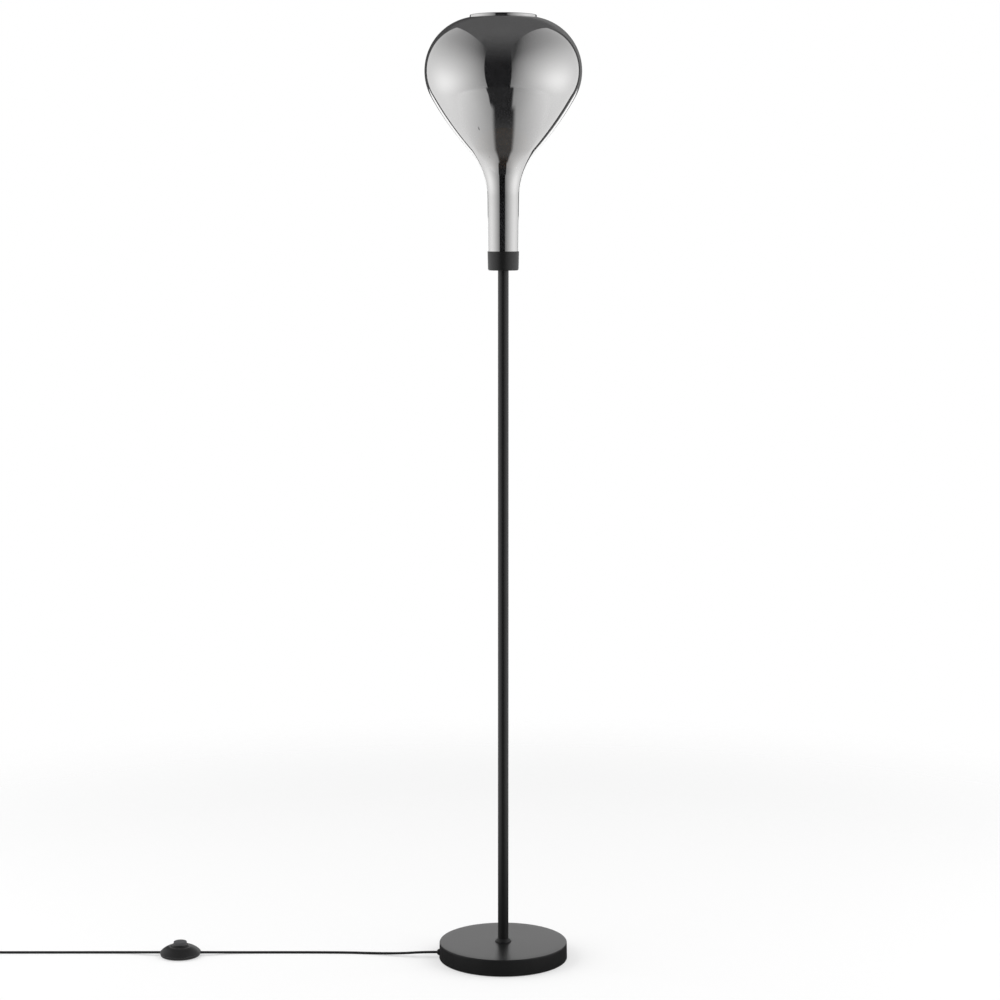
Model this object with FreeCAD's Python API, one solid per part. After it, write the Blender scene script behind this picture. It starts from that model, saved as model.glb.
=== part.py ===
"""Floor lamp: a weighted base, a slim black pole and a drop-shaped smoked glass shade, open at the top.

Millimetres, +Z up. The origin is on the floor, on the pole's axis. The lead leaves the base towards -X and
lies on the floor behind the pole's axis. Names that end in _Z are heights above the floor.
"""

import FreeCAD
import Part

import math
import os

os.makedirs("parts", exist_ok=True)

Vec = FreeCAD.Vector
UP = Vec(0, 0, 1)
RIGHT = Vec(1, 0, 0)
LEFT = Vec(-1, 0, 0)
BACK = Vec(0, 1, 0)
FRONT = Vec(0, -1, 0)

# ---------------------------------------------------------------- fits
SLIDE_GAP = 0.05          # radial clearance of a fit that has to go together
TINY = 1e-6               # anything shorter counts as nothing
OVERCUT = 1.0             # how far a cutting shape runs past what it cuts
RUN_GAP = 0.05            # radial clearance of a turning or sliding fit
LOOSE_GAP = 0.3           # clearance where a piece only has to pass

# ---------------------------------------------------------------- base
BASE_RADIUS = 100.2       # at the foot of the cover
BASE_TOP_Z = 26.4
COVER_DRAFT = 0.5         # how much narrower the cover is at its top
COVER_WALL = 1.5
COVER_EDGE_RADIUS = 1.5
SKIRT_FOOT_Z = 1.2
FELT_THICKNESS = 2.5
FELT_MARGIN = 4.4         # from the cover's inner face to the felt
FELT_WIDTH = 32.0
PLATE_THICKNESS = 1.5
WEIGHT_MARGIN = 3.0       # from the cover's inner face to the weight
WEIGHT_THICKNESS = 13.0
WEIGHT_EDGE_RADIUS = 2.0
POCKET_RADIUS = 25.0
POCKET_DEPTH = 8.0
BOSS_RADIUS = 7.0
BOSS_MARGIN = 12.0        # from the felt's inner edge to the middle of each boss
PLATE_SCREW_COUNT = 3
PLATE_SCREW_RADIUS = 2.0
PLATE_SCREW_HEAD_RADIUS = 3.6
PLATE_SCREW_HEAD_HEIGHT = 1.2
PLATE_SCREW_LENGTH = 11.0
CLAMP_MARGIN = 33.0       # from the weight's edge to the middle of the clamp
CLAMP_LENGTH = 12.0
CLAMP_WIDTH = 26.0
CLAMP_BAR = 1.4
CLAMP_SCREW_SPREAD = 9.0
CLAMP_SCREW_RADIUS = 1.5
CLAMP_SCREW_HEAD_RADIUS = 2.7
CLAMP_SCREW_HEAD_HEIGHT = 0.9
CLAMP_SCREW_BITE = 6.0

# ---------------------------------------------------------------- pole
POLE_RADIUS = 8.25
POLE_WALL = 1.2
POLE_SECTION_COUNT = 3
POLE_TOP_Z = 1075.5
COUPLER_LENGTH = 50.0
COUPLER_BORE_RADIUS = 4.0
INSERT_LENGTH = 24.0
THREAD_RADIUS = 5.0
THREAD_BORE_RADIUS = 3.75
COLLAR_FOOT_RADIUS = 13.0
COLLAR_TOP_RADIUS = 9.5
COLLAR_HEIGHT = 5.2
COLLAR_BRIM = 1.6         # height of the steep lower part
COLLAR_LEAN = 0.4
COLLAR_BRIM_FILLET = 1.2
COLLAR_TOP_FILLET = 1.0
NUT_ACROSS_FLATS = 17.0
NUT_THICKNESS = 3.0
WASHER_RADIUS = 12.0
WASHER_THICKNESS = 1.5
NIPPLE_STICK_OUT = 0.4

# ---------------------------------------------------------------- shade
RIM_TOP_Z = 1460.4
RIM_RADIUS = 50.75
GLASS_WALL = 2.0
SHADE_RADIUS = 119.4
WIDEST_Z = 1376.4
DOME_ARC = 81.0
BELLY_ARC = 81.0
BELLY_TURN = 29.7
FLANK_TURN = 42.1
FLARE_ARC = 103.0
NECK_TOP_RADIUS = 23.9
NECK_FOOT_RADIUS = 22.9
NECK_FOOT_Z = 1094.0

# ---------------------------------------------------------------- cup that holds the neck
CUP_HEIGHT = 29.0
CUP_TOP_RADIUS = 24.1
CUP_FOOT_RADIUS = 23.4
CUP_WALL = 0.75
CUP_FLOOR = 1.5
CUP_EDGE_RADIUS = 2.5
CUP_RIM_RADIUS = 0.3
SPACER_RADIUS = 21.8
SPACER_FOOT_RADIUS = 20.6
SPACER_WALL = 1.2
SPACER_EDGE_RADIUS = 0.8
GASKET_THICKNESS = 1.5
GASKET_WIDTH = 3.4

# ---------------------------------------------------------------- lampholder
HOLDER_TOP_Z = 1232.0
HOLDER_RADIUS = 19.5
HOLDER_HEIGHT = 56.0
HOLDER_WALL = 1.6
HOLDER_LIP = 1.5
HOLDER_CAP_HEIGHT = 20.0
HOLDER_CAP_EDGE_RADIUS = 5.0
HOLDER_CAP_INNER_FILLET = 2.0
HOLDER_TOP_FILLET = 0.8
RISER_IN_HOLDER = 7.0
CORE_RADIUS = 15.0
CORE_FLOOR = 6.0
CORE_TOP_GAP = 6.0        # from the skirt's lip down to the core
CORE_FOOT_FILLET = 0.5
CONTACT_SPRING_GAP = 1.5  # from the core's floor up to the bulb's contact
CONTACT_STRIP_LENGTH = 9.0
CONTACT_STRIP_WIDTH = 5.0
CONTACT_STRIP_THICKNESS = 0.4
CONTACT_TONGUE_REACH = 3.0
SHELL_ABOVE_CONTACT = 1.0
SCREW_SHELL_WALL = 0.4
SCREW_SHELL_GAP = 0.35
HOLDER_SCREW_RADIUS = 1.6
HOLDER_SCREW_LENGTH = 5.0
HOLDER_SCREW_SPREAD = 9.0
TERMINAL_HEAD_HEIGHT = 2.0
TERMINAL_HEAD_GROW = 1.2

# ---------------------------------------------------------------- bulb
BULB_RADIUS = 30.0
BULB_LENGTH = 106.0
BULB_CONTACT_Z = 1202.0
BULB_NECK_RADIUS = 14.5
BULB_GLASS_WALL = 0.8
BULB_SHOULDER_ARC = 42.0
CAP_RADIUS = 13.1
CAP_WALL = 0.3
CAP_LENGTH = 27.0
CAP_SHOULDER_WIDTH = 1.0
CAP_SHOULDER_HEIGHT = 2.0
CAP_FILLET = 0.5
GLASS_IN_CAP = 2.0
CAP_INSULATOR_HEIGHT = 4.2
CAP_INSULATOR_RADIUS = 10.0
CONTACT_RADIUS = 4.5
CONTACT_HEIGHT = 1.2
CONTACT_FILLET = 0.7
INSULATOR_FILLET = 1.0
STEM_RADIUS = 3.2
STEM_FLARE_RADIUS = 9.0
STEM_TOP_Z = 1262.0
STEM_IN_CAP = 1.5
STEM_FLARE_HEIGHT = 14.0
STEM_FLARE_FILLET = 12.0
STEM_TOP_FILLET = 1.5
FILAMENT_COUNT = 4
FILAMENT_RADIUS = 0.9
FILAMENT_FOOT_Z = 1258.0
FILAMENT_TOP_Z = 1292.0
FILAMENT_FOOT_SPREAD = 8.5
FILAMENT_TOP_SPREAD = 4.5
SUPPORT_WIRE_RADIUS = 0.4
SUPPORT_BELOW_STEM_TOP = 6.0
SUPPORT_HUB_RISE = 2.0

# ---------------------------------------------------------------- flat lead
LEAD_WIDTH = 5.4
LEAD_THICKNESS = 3.4
LEAD_GLAND_Z = 8.6
LEAD_BEND_RADIUS = 7.6
GLAND_RADIUS = 5.0
GLAND_STICK_OUT = 4.0
GLAND_STEM_RADIUS = 3.9
GLAND_BARB_RADIUS = 4.4
GLAND_BARB_LENGTH = 2.5
GLAND_BARB_GAP = 0.35
GLAND_BARB_TAPER = 0.9
CORE_WIRE_RADIUS = 0.6
CORE_WIRE_OFFSET = 1.0
CORE_WIRE_GAP = 0.2
ARC_SHARE = 0.45          # share of the shorter run that an arc takes up at each of its ends

# ---------------------------------------------------------------- foot switch
SWITCH_X = -508.0
SWITCH_Y = 10.0
SWITCH_RADIUS = 32.0
SWITCH_FOOT_RADIUS = 30.4
SWITCH_EDGE_RADIUS = 1.0
SWITCH_FEET_HEIGHT = 0.9
SWITCH_FEET_RADIUS = 3.5
SWITCH_FEET_COUNT = 4
SWITCH_FEET_CIRCLE = 22.0
SWITCH_SPLIT_Z = 5.4
SWITCH_WALL = 2.0
SWITCH_FLOOR = 2.0
SWITCH_DOME_Z = 15.6
SWITCH_DOME_RADIUS = 17.0
SWITCH_DOME_BULGE = 2.4
SWITCH_FLARE_DIP = 1.0
SWITCH_BRIM = 0.6
SWITCH_BOSS_HEIGHT = 6.6
SWITCH_COLLAR_Z = 18.8
SWITCH_COLLAR_WALL = 1.4
BUTTON_RADIUS = 10.25
BUTTON_TOP_Z = 23.6
BUTTON_CROWN = 0.9
BUTTON_EDGE_RADIUS = 0.8
BUTTON_WALL = 1.8
BUTTON_FLANGE = 1.3
BUTTON_FLANGE_HEIGHT = 1.5
BUTTON_FOOT_Z = 10.4
SPRING_RADIUS = 5.4
SPRING_WIRE_RADIUS = 0.4
SPRING_TURNS = 6
SPRING_END_GAP = 0.05
ROTOR_RADIUS = 8.6
ROTOR_THICKNESS = 2.6
ROTOR_LOBES = 4
ROTOR_LOBE_DEPTH = 1.2
PIVOT_RADIUS = 1.6
PIVOT_ABOVE_ROTOR = 0.8
SWITCH_SCREW_COUNT = 3
SWITCH_SCREW_CIRCLE = 24.5
SWITCH_SCREW_RADIUS = 1.3
SWITCH_SCREW_LENGTH = 6.5
SWITCH_SCREW_HEAD_GROW = 1.1
SWITCH_SCREW_HEAD_HEIGHT = 0.9
SWITCH_SCREW_SINK = 1.0
SWITCH_BOSS_RADIUS = 2.9
TERMINAL_X = 15.0
TERMINAL_LENGTH = 6.0
TERMINAL_WIDTH = 6.0
TERMINAL_HEIGHT = 5.0
LEAF_THICKNESS = 0.4
LEAF_ABOVE_ROTOR_FOOT = 1.0
LEAD_IN_SWITCH_X = 20.0
SWITCH_CLAMP_X = 23.0
SWITCH_CLAMP_LENGTH = 3.0
SWITCH_CLAMP_WIDTH = 13.0
SWITCH_CLAMP_THICKNESS = 1.2
SWITCH_CLAMP_GAP = 0.02
SWITCH_CLAMP_SCREW_RADIUS = 0.9
SWITCH_CLAMP_SCREW_INSET = 1.8
SWITCH_CLAMP_SCREW_HEAD_GROW = 0.7
SWITCH_CLAMP_SCREW_HEAD_HEIGHT = 0.8
SWITCH_WAY_LENGTH = 15.0

# ---------------------------------------------------------------- plug
PLUG_WIDTH = 35.0
PLUG_HEIGHT = 13.7
PLUG_LENGTH = 36.0
PLUG_REAR_WIDTH = 16.0
PLUG_SHOULDER = 13.0
PLUG_EDGE_RADIUS = 2.0
PLUG_CORNER_RADIUS = 3.0
PLUG_SHOULDER_RADIUS = 8.0
PIN_RADIUS = 2.0
PIN_LENGTH = 19.0
PIN_SPREAD = 18.6
PIN_NOSE_RADIUS = 1.6
SLEEVE_RADIUS = 1.9
SLEEVE_WALL = 0.5
SLEEVE_GAP = 0.01
SLEEVE_LENGTH = 10.0
PIN_ROOT = 4.0

# ---------------------------------------------------------------- route of the lead on the floor
LEAD_FLOOR_Z = LEAD_THICKNESS / 2
LEAD_FLOOR_Y = 20.0  # line that the lead keeps to on the floor
LEAD_SWITCH_Z = 5.0
SWITCH_RUN_LENGTH = 26.0  # first level run of the lead on each side of the switch
TWIST_START_X = -795.0
TWIST_LENGTH = 60.0
TWIST_STEPS = 6
COIL_OUTER_RADIUS = 36.5
COIL_PITCH = 4.0
COIL_LAYER_RISE = 6.0
COIL_LIFT = 0.05          # room for the small roll of the lead in the coil
COIL_LAYER_TURNS = 3.25   # turns wound inwards before the spiral reverses
COIL_TURNS = 6.25
COIL_RISE_TURNS = 0.5     # part of a turn in which the lead climbs a layer
COIL_GAP_SAMPLES = 1200
COIL_GAP_SKIP = 60.0      # length along the lead in which it can't meet itself
PLUG_LEAD_LENGTH = 48.0


# ---------------------------------------------------------------- helpers
def beaded(points, radius):
    """Thin wire through points, with a ball at each bend."""
    wire = rod(radius, points[0], points[1])
    for start, end in zip(points[1:], points[2:]):
        wire = wire.fuse([Part.makeSphere(radius, start), rod(radius, start, end)])
    return wire.removeSplitter()


def corner_arc(before, corner, after, radius):
    """Arc that rounds a corner, and the two points where it meets the corner's sides."""
    back = (before - corner).normalize()
    onward = (after - corner).normalize()
    half = back.getAngle(onward) / 2
    reach = radius / math.tan(half)
    bisector = (back + onward).normalize()
    centre = corner + bisector * (radius / math.sin(half))
    start = corner + back * reach
    end = corner + onward * reach
    arc = Part.Arc(start, centre - bisector * radius, end).toShape()
    return start, arc, end


def rounded_wire(corners):
    """Closed wire through (point, radius) corners, each rounded by its radius."""
    edges = []
    starts = []
    ends = []
    count = len(corners)
    for index, (point, radius) in enumerate(corners):
        if radius == 0:
            starts.append(point)
            ends.append(point)
            edges.append([])
            continue
        before = corners[index - 1][0]
        after = corners[(index + 1) % count][0]
        start, arc, end = corner_arc(before, point, after, radius)
        starts.append(start)
        ends.append(end)
        edges.append([arc])
    chain = []
    for index in range(count):
        chain += edges[index]
        following = starts[(index + 1) % count]
        if ends[index].distanceToPoint(following) > TINY:
            chain.append(Part.makeLine(ends[index], following))
    return Part.Wire(chain)


def turned(profile):
    """Solid of revolution about +Z from (radius, height, corner radius) points."""
    wire = rounded_wire([(Vec(r, 0, z), fillet) for r, z, fillet in profile])
    return Part.Face(wire).revolve(Vec(0, 0, 0), UP, 360)


def ring(inner, outer, low, high, fillet=0):
    """Ring, or a disc where the inner radius is 0."""
    return turned([(inner, low, 0), (outer, low, fillet), (outer, high, fillet), (inner, high, 0)])


def rod(radius, start, end):
    """Straight rod between two points."""
    along = end - start
    return Part.makeCylinder(radius, along.Length, start, along)


def block(length, width, height, centre_x, centre_y, low_z):
    """Upright box, centred in X and Y."""
    corner = Vec(centre_x - length / 2, centre_y - width / 2, low_z)
    return Part.makeBox(length, width, height, corner)


def bulged(start, end, bulge):
    """Arc between two points of a profile that stands off its chord, away from the axis where positive."""
    chord = end - start
    outward = Vec(chord.z, 0, -chord.x).normalize()
    return Part.Arc(start, start + chord * 0.5 + outward * bulge, end).toShape()


def hexagon(across_flats, bore, low, height):
    """Hexagonal nut about +Z."""
    corner_radius = across_flats / math.sqrt(3)
    points = []
    for index in range(7):
        angle = math.radians(60 * index)
        points.append(Vec(corner_radius * math.cos(angle), corner_radius * math.sin(angle), low))
    solid = Part.Face(Part.makePolygon(points)).extrude(UP * height)
    return solid.cut(Part.makeCylinder(bore, height, Vec(0, 0, low)))


def around(count, radius, first_angle=0.0):
    """Points at even steps on a circle about +Z."""
    places = []
    for index in range(count):
        angle = math.radians(first_angle + 360 * index / count)
        places.append(Vec(radius * math.cos(angle), radius * math.sin(angle), 0))
    return places


def flat_section(centre, wide, thin, grow=0.0):
    """Outline of the flat lead: straight sides of its thickness apart, and half-round edges."""
    half = LEAD_THICKNESS / 2 + grow
    core = (LEAD_WIDTH - LEAD_THICKNESS) / 2
    left_top = centre - wide * core + thin * half
    right_top = centre + wide * core + thin * half
    left_low = centre - wide * core - thin * half
    right_low = centre + wide * core - thin * half
    right_tip = centre + wide * (core + half)
    left_tip = centre - wide * (core + half)
    return Part.Wire([Part.makeLine(left_top, right_top),
                      Part.Arc(right_top, right_tip, right_low).toShape(),
                      Part.makeLine(right_low, left_low),
                      Part.Arc(left_low, left_tip, left_top).toShape()])


def flat_passage(start, end, wide, thin):
    """Straight passage that the flat lead goes through, for cutting out of a wall."""
    return Part.Face(flat_section(start, wide, thin, SLIDE_GAP)).extrude(end - start)


def sweep(path, section, steady=None):
    """Solid of a section along a path, kept level about a steady direction where one is given."""
    shell = Part.BRepOffsetAPI.MakePipeShell(path)
    if steady is not None:
        shell.setBiNormalMode(steady)
    shell.add(section)
    shell.build()
    shell.makeSolid()
    return shell.shape()


def route(points, name):
    """Wire of straight runs and tangent arcs through a route's points, with its radii printed."""
    edges = []
    radii = []
    here = points[0]
    for before, corner, after in zip(points, points[1:], points[2:]):
        shorter = min((corner - before).Length, (after - corner).Length)
        turn = (corner - before).getAngle(after - corner)
        radius = ARC_SHARE * shorter / math.tan(turn / 2)
        start, arc, end = corner_arc(before, corner, after, radius)
        edges.append(Part.makeLine(here, start))
        edges.append(arc)
        here = end
        radii.append(round(radius, 1))
    edges.append(Part.makeLine(here, points[-1]))
    print(name, "arc radii in mm:", radii)
    return Part.Wire(edges)


def bend(start, heading, end):
    """Arc that leaves the start along the heading and reaches the end."""
    chord = end - start
    along = Vec(chord).normalize()
    sideways = heading - along * heading.dot(along)
    if sideways.Length < TINY:
        return Part.makeLine(start, end)
    angle = heading.getAngle(chord)
    sideways.normalize()
    middle = start + chord * 0.5 + sideways * (chord.Length / 2 * math.tan(angle / 2))
    return Part.Arc(start, middle, end).toShape()


def biarc(start, heading, end, last_heading):
    """Two arcs that join smoothly and match the headings at both ends."""
    chord = end - start
    both = heading + last_heading
    spread = 2 * (1 - heading.dot(last_heading))
    reach = chord.dot(chord) / (2 * chord.dot(both))
    if spread > TINY:
        lean = chord.dot(both)
        reach = (math.sqrt(lean * lean + spread * chord.dot(chord)) - lean) / spread
    joint = (start + heading * reach + end - last_heading * reach) * 0.5
    first = bend(start, heading, joint)
    second = bend(end, last_heading * -1, joint)
    return [first, second]


def report_tube(name, solid, path):
    """Print a tube's volume beside its section times its length."""
    half = LEAD_THICKNESS / 2
    section = math.pi * half * half + (LEAD_WIDTH - LEAD_THICKNESS) * LEAD_THICKNESS
    print(name, "length", round(path.Length, 1), "volume", round(solid.Volume, 1),
          "section x length", round(section * path.Length, 1), "valid", solid.isValid())


def save(name, shape):
    """Write one sub-part."""
    shape.exportStep("parts/" + name + ".step")


def group(shapes):
    """Several separate solids of one kind as one sub-part."""
    return Part.makeCompound(shapes)


# ---------------------------------------------------------------- base
PLATE_LOW_Z = FELT_THICKNESS
PLATE_TOP_Z = PLATE_LOW_Z + PLATE_THICKNESS
WEIGHT_TOP_Z = BASE_TOP_Z - COVER_WALL
WEIGHT_LOW_Z = WEIGHT_TOP_Z - WEIGHT_THICKNESS
POCKET_TOP_Z = WEIGHT_LOW_Z + POCKET_DEPTH
WASHER_LOW_Z = POCKET_TOP_Z - WASHER_THICKNESS
NUT_LOW_Z = WASHER_LOW_Z - NUT_THICKNESS
NIPPLE_LOW_Z = NUT_LOW_Z - NIPPLE_STICK_OUT
COVER_INNER_RADIUS = BASE_RADIUS - COVER_WALL
COVER_INNER_TOP_RADIUS = COVER_INNER_RADIUS - COVER_DRAFT
WEIGHT_RADIUS = COVER_INNER_TOP_RADIUS - WEIGHT_MARGIN
FELT_OUTER_RADIUS = COVER_INNER_RADIUS - FELT_MARGIN
FELT_INNER_RADIUS = FELT_OUTER_RADIUS - FELT_WIDTH
BOSS_CIRCLE_RADIUS = FELT_INNER_RADIUS - BOSS_MARGIN
CLAMP_X = -(WEIGHT_RADIUS - CLAMP_MARGIN)
HOLE_RADIUS = THREAD_RADIUS + SLIDE_GAP
LEAD_FACE_X = -BASE_RADIUS - GLAND_STICK_OUT


def base_cover():
    """Pressed steel cover: a flat top with a rolled edge and a short skirt."""
    inner_edge = max(COVER_EDGE_RADIUS - COVER_WALL, 0)
    cup = turned([(HOLE_RADIUS, BASE_TOP_Z, 0), (BASE_RADIUS - COVER_DRAFT, BASE_TOP_Z, COVER_EDGE_RADIUS),
                  (BASE_RADIUS, SKIRT_FOOT_Z, 0), (COVER_INNER_RADIUS, SKIRT_FOOT_Z, 0),
                  (COVER_INNER_TOP_RADIUS, WEIGHT_TOP_Z, inner_edge), (HOLE_RADIUS, WEIGHT_TOP_Z, 0)])
    hole = rod(GLAND_STEM_RADIUS + SLIDE_GAP, Vec(-BASE_RADIUS - OVERCUT, 0, LEAD_GLAND_Z),
               Vec(-COVER_INNER_TOP_RADIUS + OVERCUT, 0, LEAD_GLAND_Z))
    return cup.cut(hole)


def boss_places():
    """Middle of each boss under the weight."""
    return around(PLATE_SCREW_COUNT, BOSS_CIRCLE_RADIUS)


def base_weight():
    """Cast iron disc with a pocket for the nut and three bosses for the bottom plate."""
    disc = ring(HOLE_RADIUS, WEIGHT_RADIUS, WEIGHT_LOW_Z, WEIGHT_TOP_Z, WEIGHT_EDGE_RADIUS)
    for place in boss_places():
        boss = Part.makeCylinder(BOSS_RADIUS, WEIGHT_LOW_Z - PLATE_TOP_Z, place + UP * PLATE_TOP_Z)
        disc = disc.fuse(boss)
    disc = disc.cut(Part.makeCylinder(POCKET_RADIUS, POCKET_DEPTH, Vec(0, 0, WEIGHT_LOW_Z)))
    thread = PLATE_SCREW_RADIUS + SLIDE_GAP
    depth = PLATE_SCREW_LENGTH + OVERCUT
    for place in boss_places():
        disc = disc.cut(Part.makeCylinder(thread, depth, place + UP * PLATE_LOW_Z))
    for place in clamp_screw_places():
        hole = Part.makeCylinder(CLAMP_SCREW_RADIUS + SLIDE_GAP, CLAMP_SCREW_BITE + OVERCUT,
                                 place + UP * WEIGHT_LOW_Z)
        disc = disc.cut(hole)
    return disc.removeSplitter()


def base_plate():
    """Thin steel plate that closes the base from below."""
    plate = ring(0, COVER_INNER_RADIUS - LOOSE_GAP, PLATE_LOW_Z, PLATE_TOP_Z)
    for place in boss_places():
        plate = plate.cut(plate_screw(place, SLIDE_GAP))
    return plate


def plate_screw(place, grow=0.0):
    """Countersunk screw that points up into the weight."""
    cone_top = PLATE_LOW_Z + PLATE_SCREW_HEAD_HEIGHT
    head = Part.makeCone(PLATE_SCREW_HEAD_RADIUS + grow, PLATE_SCREW_RADIUS + grow, PLATE_SCREW_HEAD_HEIGHT,
                         place + UP * PLATE_LOW_Z)
    shank = Part.makeCylinder(PLATE_SCREW_RADIUS + grow, PLATE_LOW_Z + PLATE_SCREW_LENGTH - cone_top,
                              place + UP * cone_top)
    return head.fuse(shank)


def base_plate_screws():
    """Countersunk screws, one in each boss."""
    return group([plate_screw(place) for place in boss_places()])


def clamp_screw_places():
    """Middle of each screw of the lead clamp in the base."""
    return [Vec(CLAMP_X, side * CLAMP_SCREW_SPREAD, 0) for side in (-1, 1)]


def base_clamp():
    """Saddle that holds the lead against the weight."""
    low = LEAD_GLAND_Z - LEAD_THICKNESS / 2 - CLAMP_BAR
    saddle = block(CLAMP_LENGTH, CLAMP_WIDTH, WEIGHT_LOW_Z - low, CLAMP_X, 0, low)
    start = Vec(CLAMP_X - CLAMP_LENGTH, 0, LEAD_GLAND_Z)
    end = Vec(CLAMP_X + CLAMP_LENGTH, 0, LEAD_GLAND_Z)
    saddle = saddle.cut(flat_passage(start, end, BACK, UP))
    for place in clamp_screw_places():
        saddle = saddle.cut(Part.makeCylinder(CLAMP_SCREW_RADIUS + SLIDE_GAP, WEIGHT_LOW_Z, place))
    return saddle


def base_clamp_screws():
    """Two pan-head screws under the saddle."""
    low = LEAD_GLAND_Z - LEAD_THICKNESS / 2 - CLAMP_BAR
    screws = []
    for place in clamp_screw_places():
        head = Part.makeCylinder(CLAMP_SCREW_HEAD_RADIUS, CLAMP_SCREW_HEAD_HEIGHT,
                                 place + UP * (low - CLAMP_SCREW_HEAD_HEIGHT))
        shank = Part.makeCylinder(CLAMP_SCREW_RADIUS, WEIGHT_LOW_Z + CLAMP_SCREW_BITE - low,
                                  place + UP * low)
        screws.append(head.fuse(shank))
    return group(screws)


def base_gland():
    """Snap-in bushing with a half-round nose, where the lead leaves the base."""
    nose = Part.makeSphere(GLAND_RADIUS, Vec(0, 0, 0))
    nose = nose.common(Part.makeBox(2 * GLAND_RADIUS, 4 * GLAND_RADIUS, 4 * GLAND_RADIUS,
                                    Vec(-2 * GLAND_RADIUS, -2 * GLAND_RADIUS, -2 * GLAND_RADIUS)))
    squash = FreeCAD.Matrix()
    squash.scale(GLAND_STICK_OUT / GLAND_RADIUS, 1, 1)
    nose = nose.transformGeometry(squash)
    nose.translate(Vec(-BASE_RADIUS, 0, LEAD_GLAND_Z))
    barb_start = Vec(-COVER_INNER_RADIUS + GLAND_BARB_GAP, 0, LEAD_GLAND_Z)
    stem = rod(GLAND_STEM_RADIUS, Vec(-BASE_RADIUS, 0, LEAD_GLAND_Z), barb_start)
    barb = Part.makeCone(GLAND_BARB_RADIUS, GLAND_BARB_RADIUS - GLAND_BARB_TAPER, GLAND_BARB_LENGTH,
                         barb_start, RIGHT)
    gland = nose.fuse([stem, barb]).removeSplitter()
    start = Vec(LEAD_FACE_X - OVERCUT, 0, LEAD_GLAND_Z)
    end = Vec(-COVER_INNER_RADIUS + GLAND_BARB_LENGTH + OVERCUT, 0, LEAD_GLAND_Z)
    return gland.cut(flat_passage(start, end, BACK, UP))


save("base_cover", base_cover())
save("base_weight", base_weight())
save("base_plate", base_plate())
save("base_plate_screws", base_plate_screws())
save("base_felt", ring(FELT_INNER_RADIUS, FELT_OUTER_RADIUS, 0, FELT_THICKNESS))
save("base_clamp", base_clamp())
save("base_clamp_screws", base_clamp_screws())
save("base_gland", base_gland())
save("base_nut", hexagon(NUT_ACROSS_FLATS, HOLE_RADIUS, NUT_LOW_Z, NUT_THICKNESS))
save("base_washer", ring(HOLE_RADIUS, WASHER_RADIUS, WASHER_LOW_Z, POCKET_TOP_Z))

# ---------------------------------------------------------------- pole
POLE_BORE = POLE_RADIUS - POLE_WALL
SECTION_LENGTH = (POLE_TOP_Z - BASE_TOP_Z) / POLE_SECTION_COUNT
INSERT_RADIUS = POLE_BORE - SLIDE_GAP
FOOT_INSERT_TOP_Z = BASE_TOP_Z + INSERT_LENGTH
HEAD_INSERT_LOW_Z = POLE_TOP_Z - INSERT_LENGTH


def pole_joints():
    """Heights where one section of the pole meets the next."""
    return [BASE_TOP_Z + SECTION_LENGTH * index for index in range(1, POLE_SECTION_COUNT)]


def pole_couplers():
    """Turned studs, half in each of the two sections they join."""
    studs = []
    for height in pole_joints():
        studs.append(ring(COUPLER_BORE_RADIUS, INSERT_RADIUS, height - COUPLER_LENGTH / 2,
                          height + COUPLER_LENGTH / 2))
    return group(studs)


def foot_collar():
    """Small bell that covers the joint between the pole and the base."""
    bore = POLE_RADIUS + SLIDE_GAP
    brim = BASE_TOP_Z + COLLAR_BRIM
    top = BASE_TOP_Z + COLLAR_HEIGHT
    return turned([(bore, BASE_TOP_Z, 0), (COLLAR_FOOT_RADIUS, BASE_TOP_Z, COLLAR_LEAN),
                   (COLLAR_FOOT_RADIUS - COLLAR_LEAN, brim, COLLAR_BRIM_FILLET),
                   (COLLAR_TOP_RADIUS, top - COLLAR_LEAN, COLLAR_TOP_FILLET), (bore, top, 0)])


for index in range(POLE_SECTION_COUNT):
    low = BASE_TOP_Z + SECTION_LENGTH * index
    save("pole_section_" + str(index + 1), ring(POLE_BORE, POLE_RADIUS, low, low + SECTION_LENGTH))
save("pole_couplers", pole_couplers())
save("pole_foot_insert", ring(HOLE_RADIUS, INSERT_RADIUS, BASE_TOP_Z, FOOT_INSERT_TOP_Z))
save("pole_head_insert", ring(HOLE_RADIUS, INSERT_RADIUS, HEAD_INSERT_LOW_Z, POLE_TOP_Z))
save("base_nipple", ring(THREAD_BORE_RADIUS, THREAD_RADIUS, NIPPLE_LOW_Z, FOOT_INSERT_TOP_Z))
save("pole_foot_collar", foot_collar())

# ---------------------------------------------------------------- cup and riser
CUP_LOW_Z = POLE_TOP_Z
CUP_FLOOR_Z = CUP_LOW_Z + CUP_FLOOR
CUP_TOP_Z = CUP_LOW_Z + CUP_HEIGHT
HOLDER_LOW_Z = HOLDER_TOP_Z - HOLDER_HEIGHT
RISER_TOP_Z = HOLDER_LOW_Z + RISER_IN_HOLDER
SPACER_TOP_Z = NECK_FOOT_Z - GASKET_THICKNESS


def shade_cup():
    """Pressed cup on top of the pole, slightly wider at its mouth."""
    inner_edge = max(CUP_EDGE_RADIUS - CUP_WALL, 0)
    return turned([(HOLE_RADIUS, CUP_LOW_Z, 0), (CUP_FOOT_RADIUS, CUP_LOW_Z, CUP_EDGE_RADIUS),
                   (CUP_TOP_RADIUS, CUP_TOP_Z, CUP_RIM_RADIUS),
                   (CUP_TOP_RADIUS - CUP_WALL, CUP_TOP_Z, CUP_RIM_RADIUS),
                   (CUP_FOOT_RADIUS - CUP_WALL, CUP_FLOOR_Z, inner_edge), (HOLE_RADIUS, CUP_FLOOR_Z, 0)])


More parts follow.
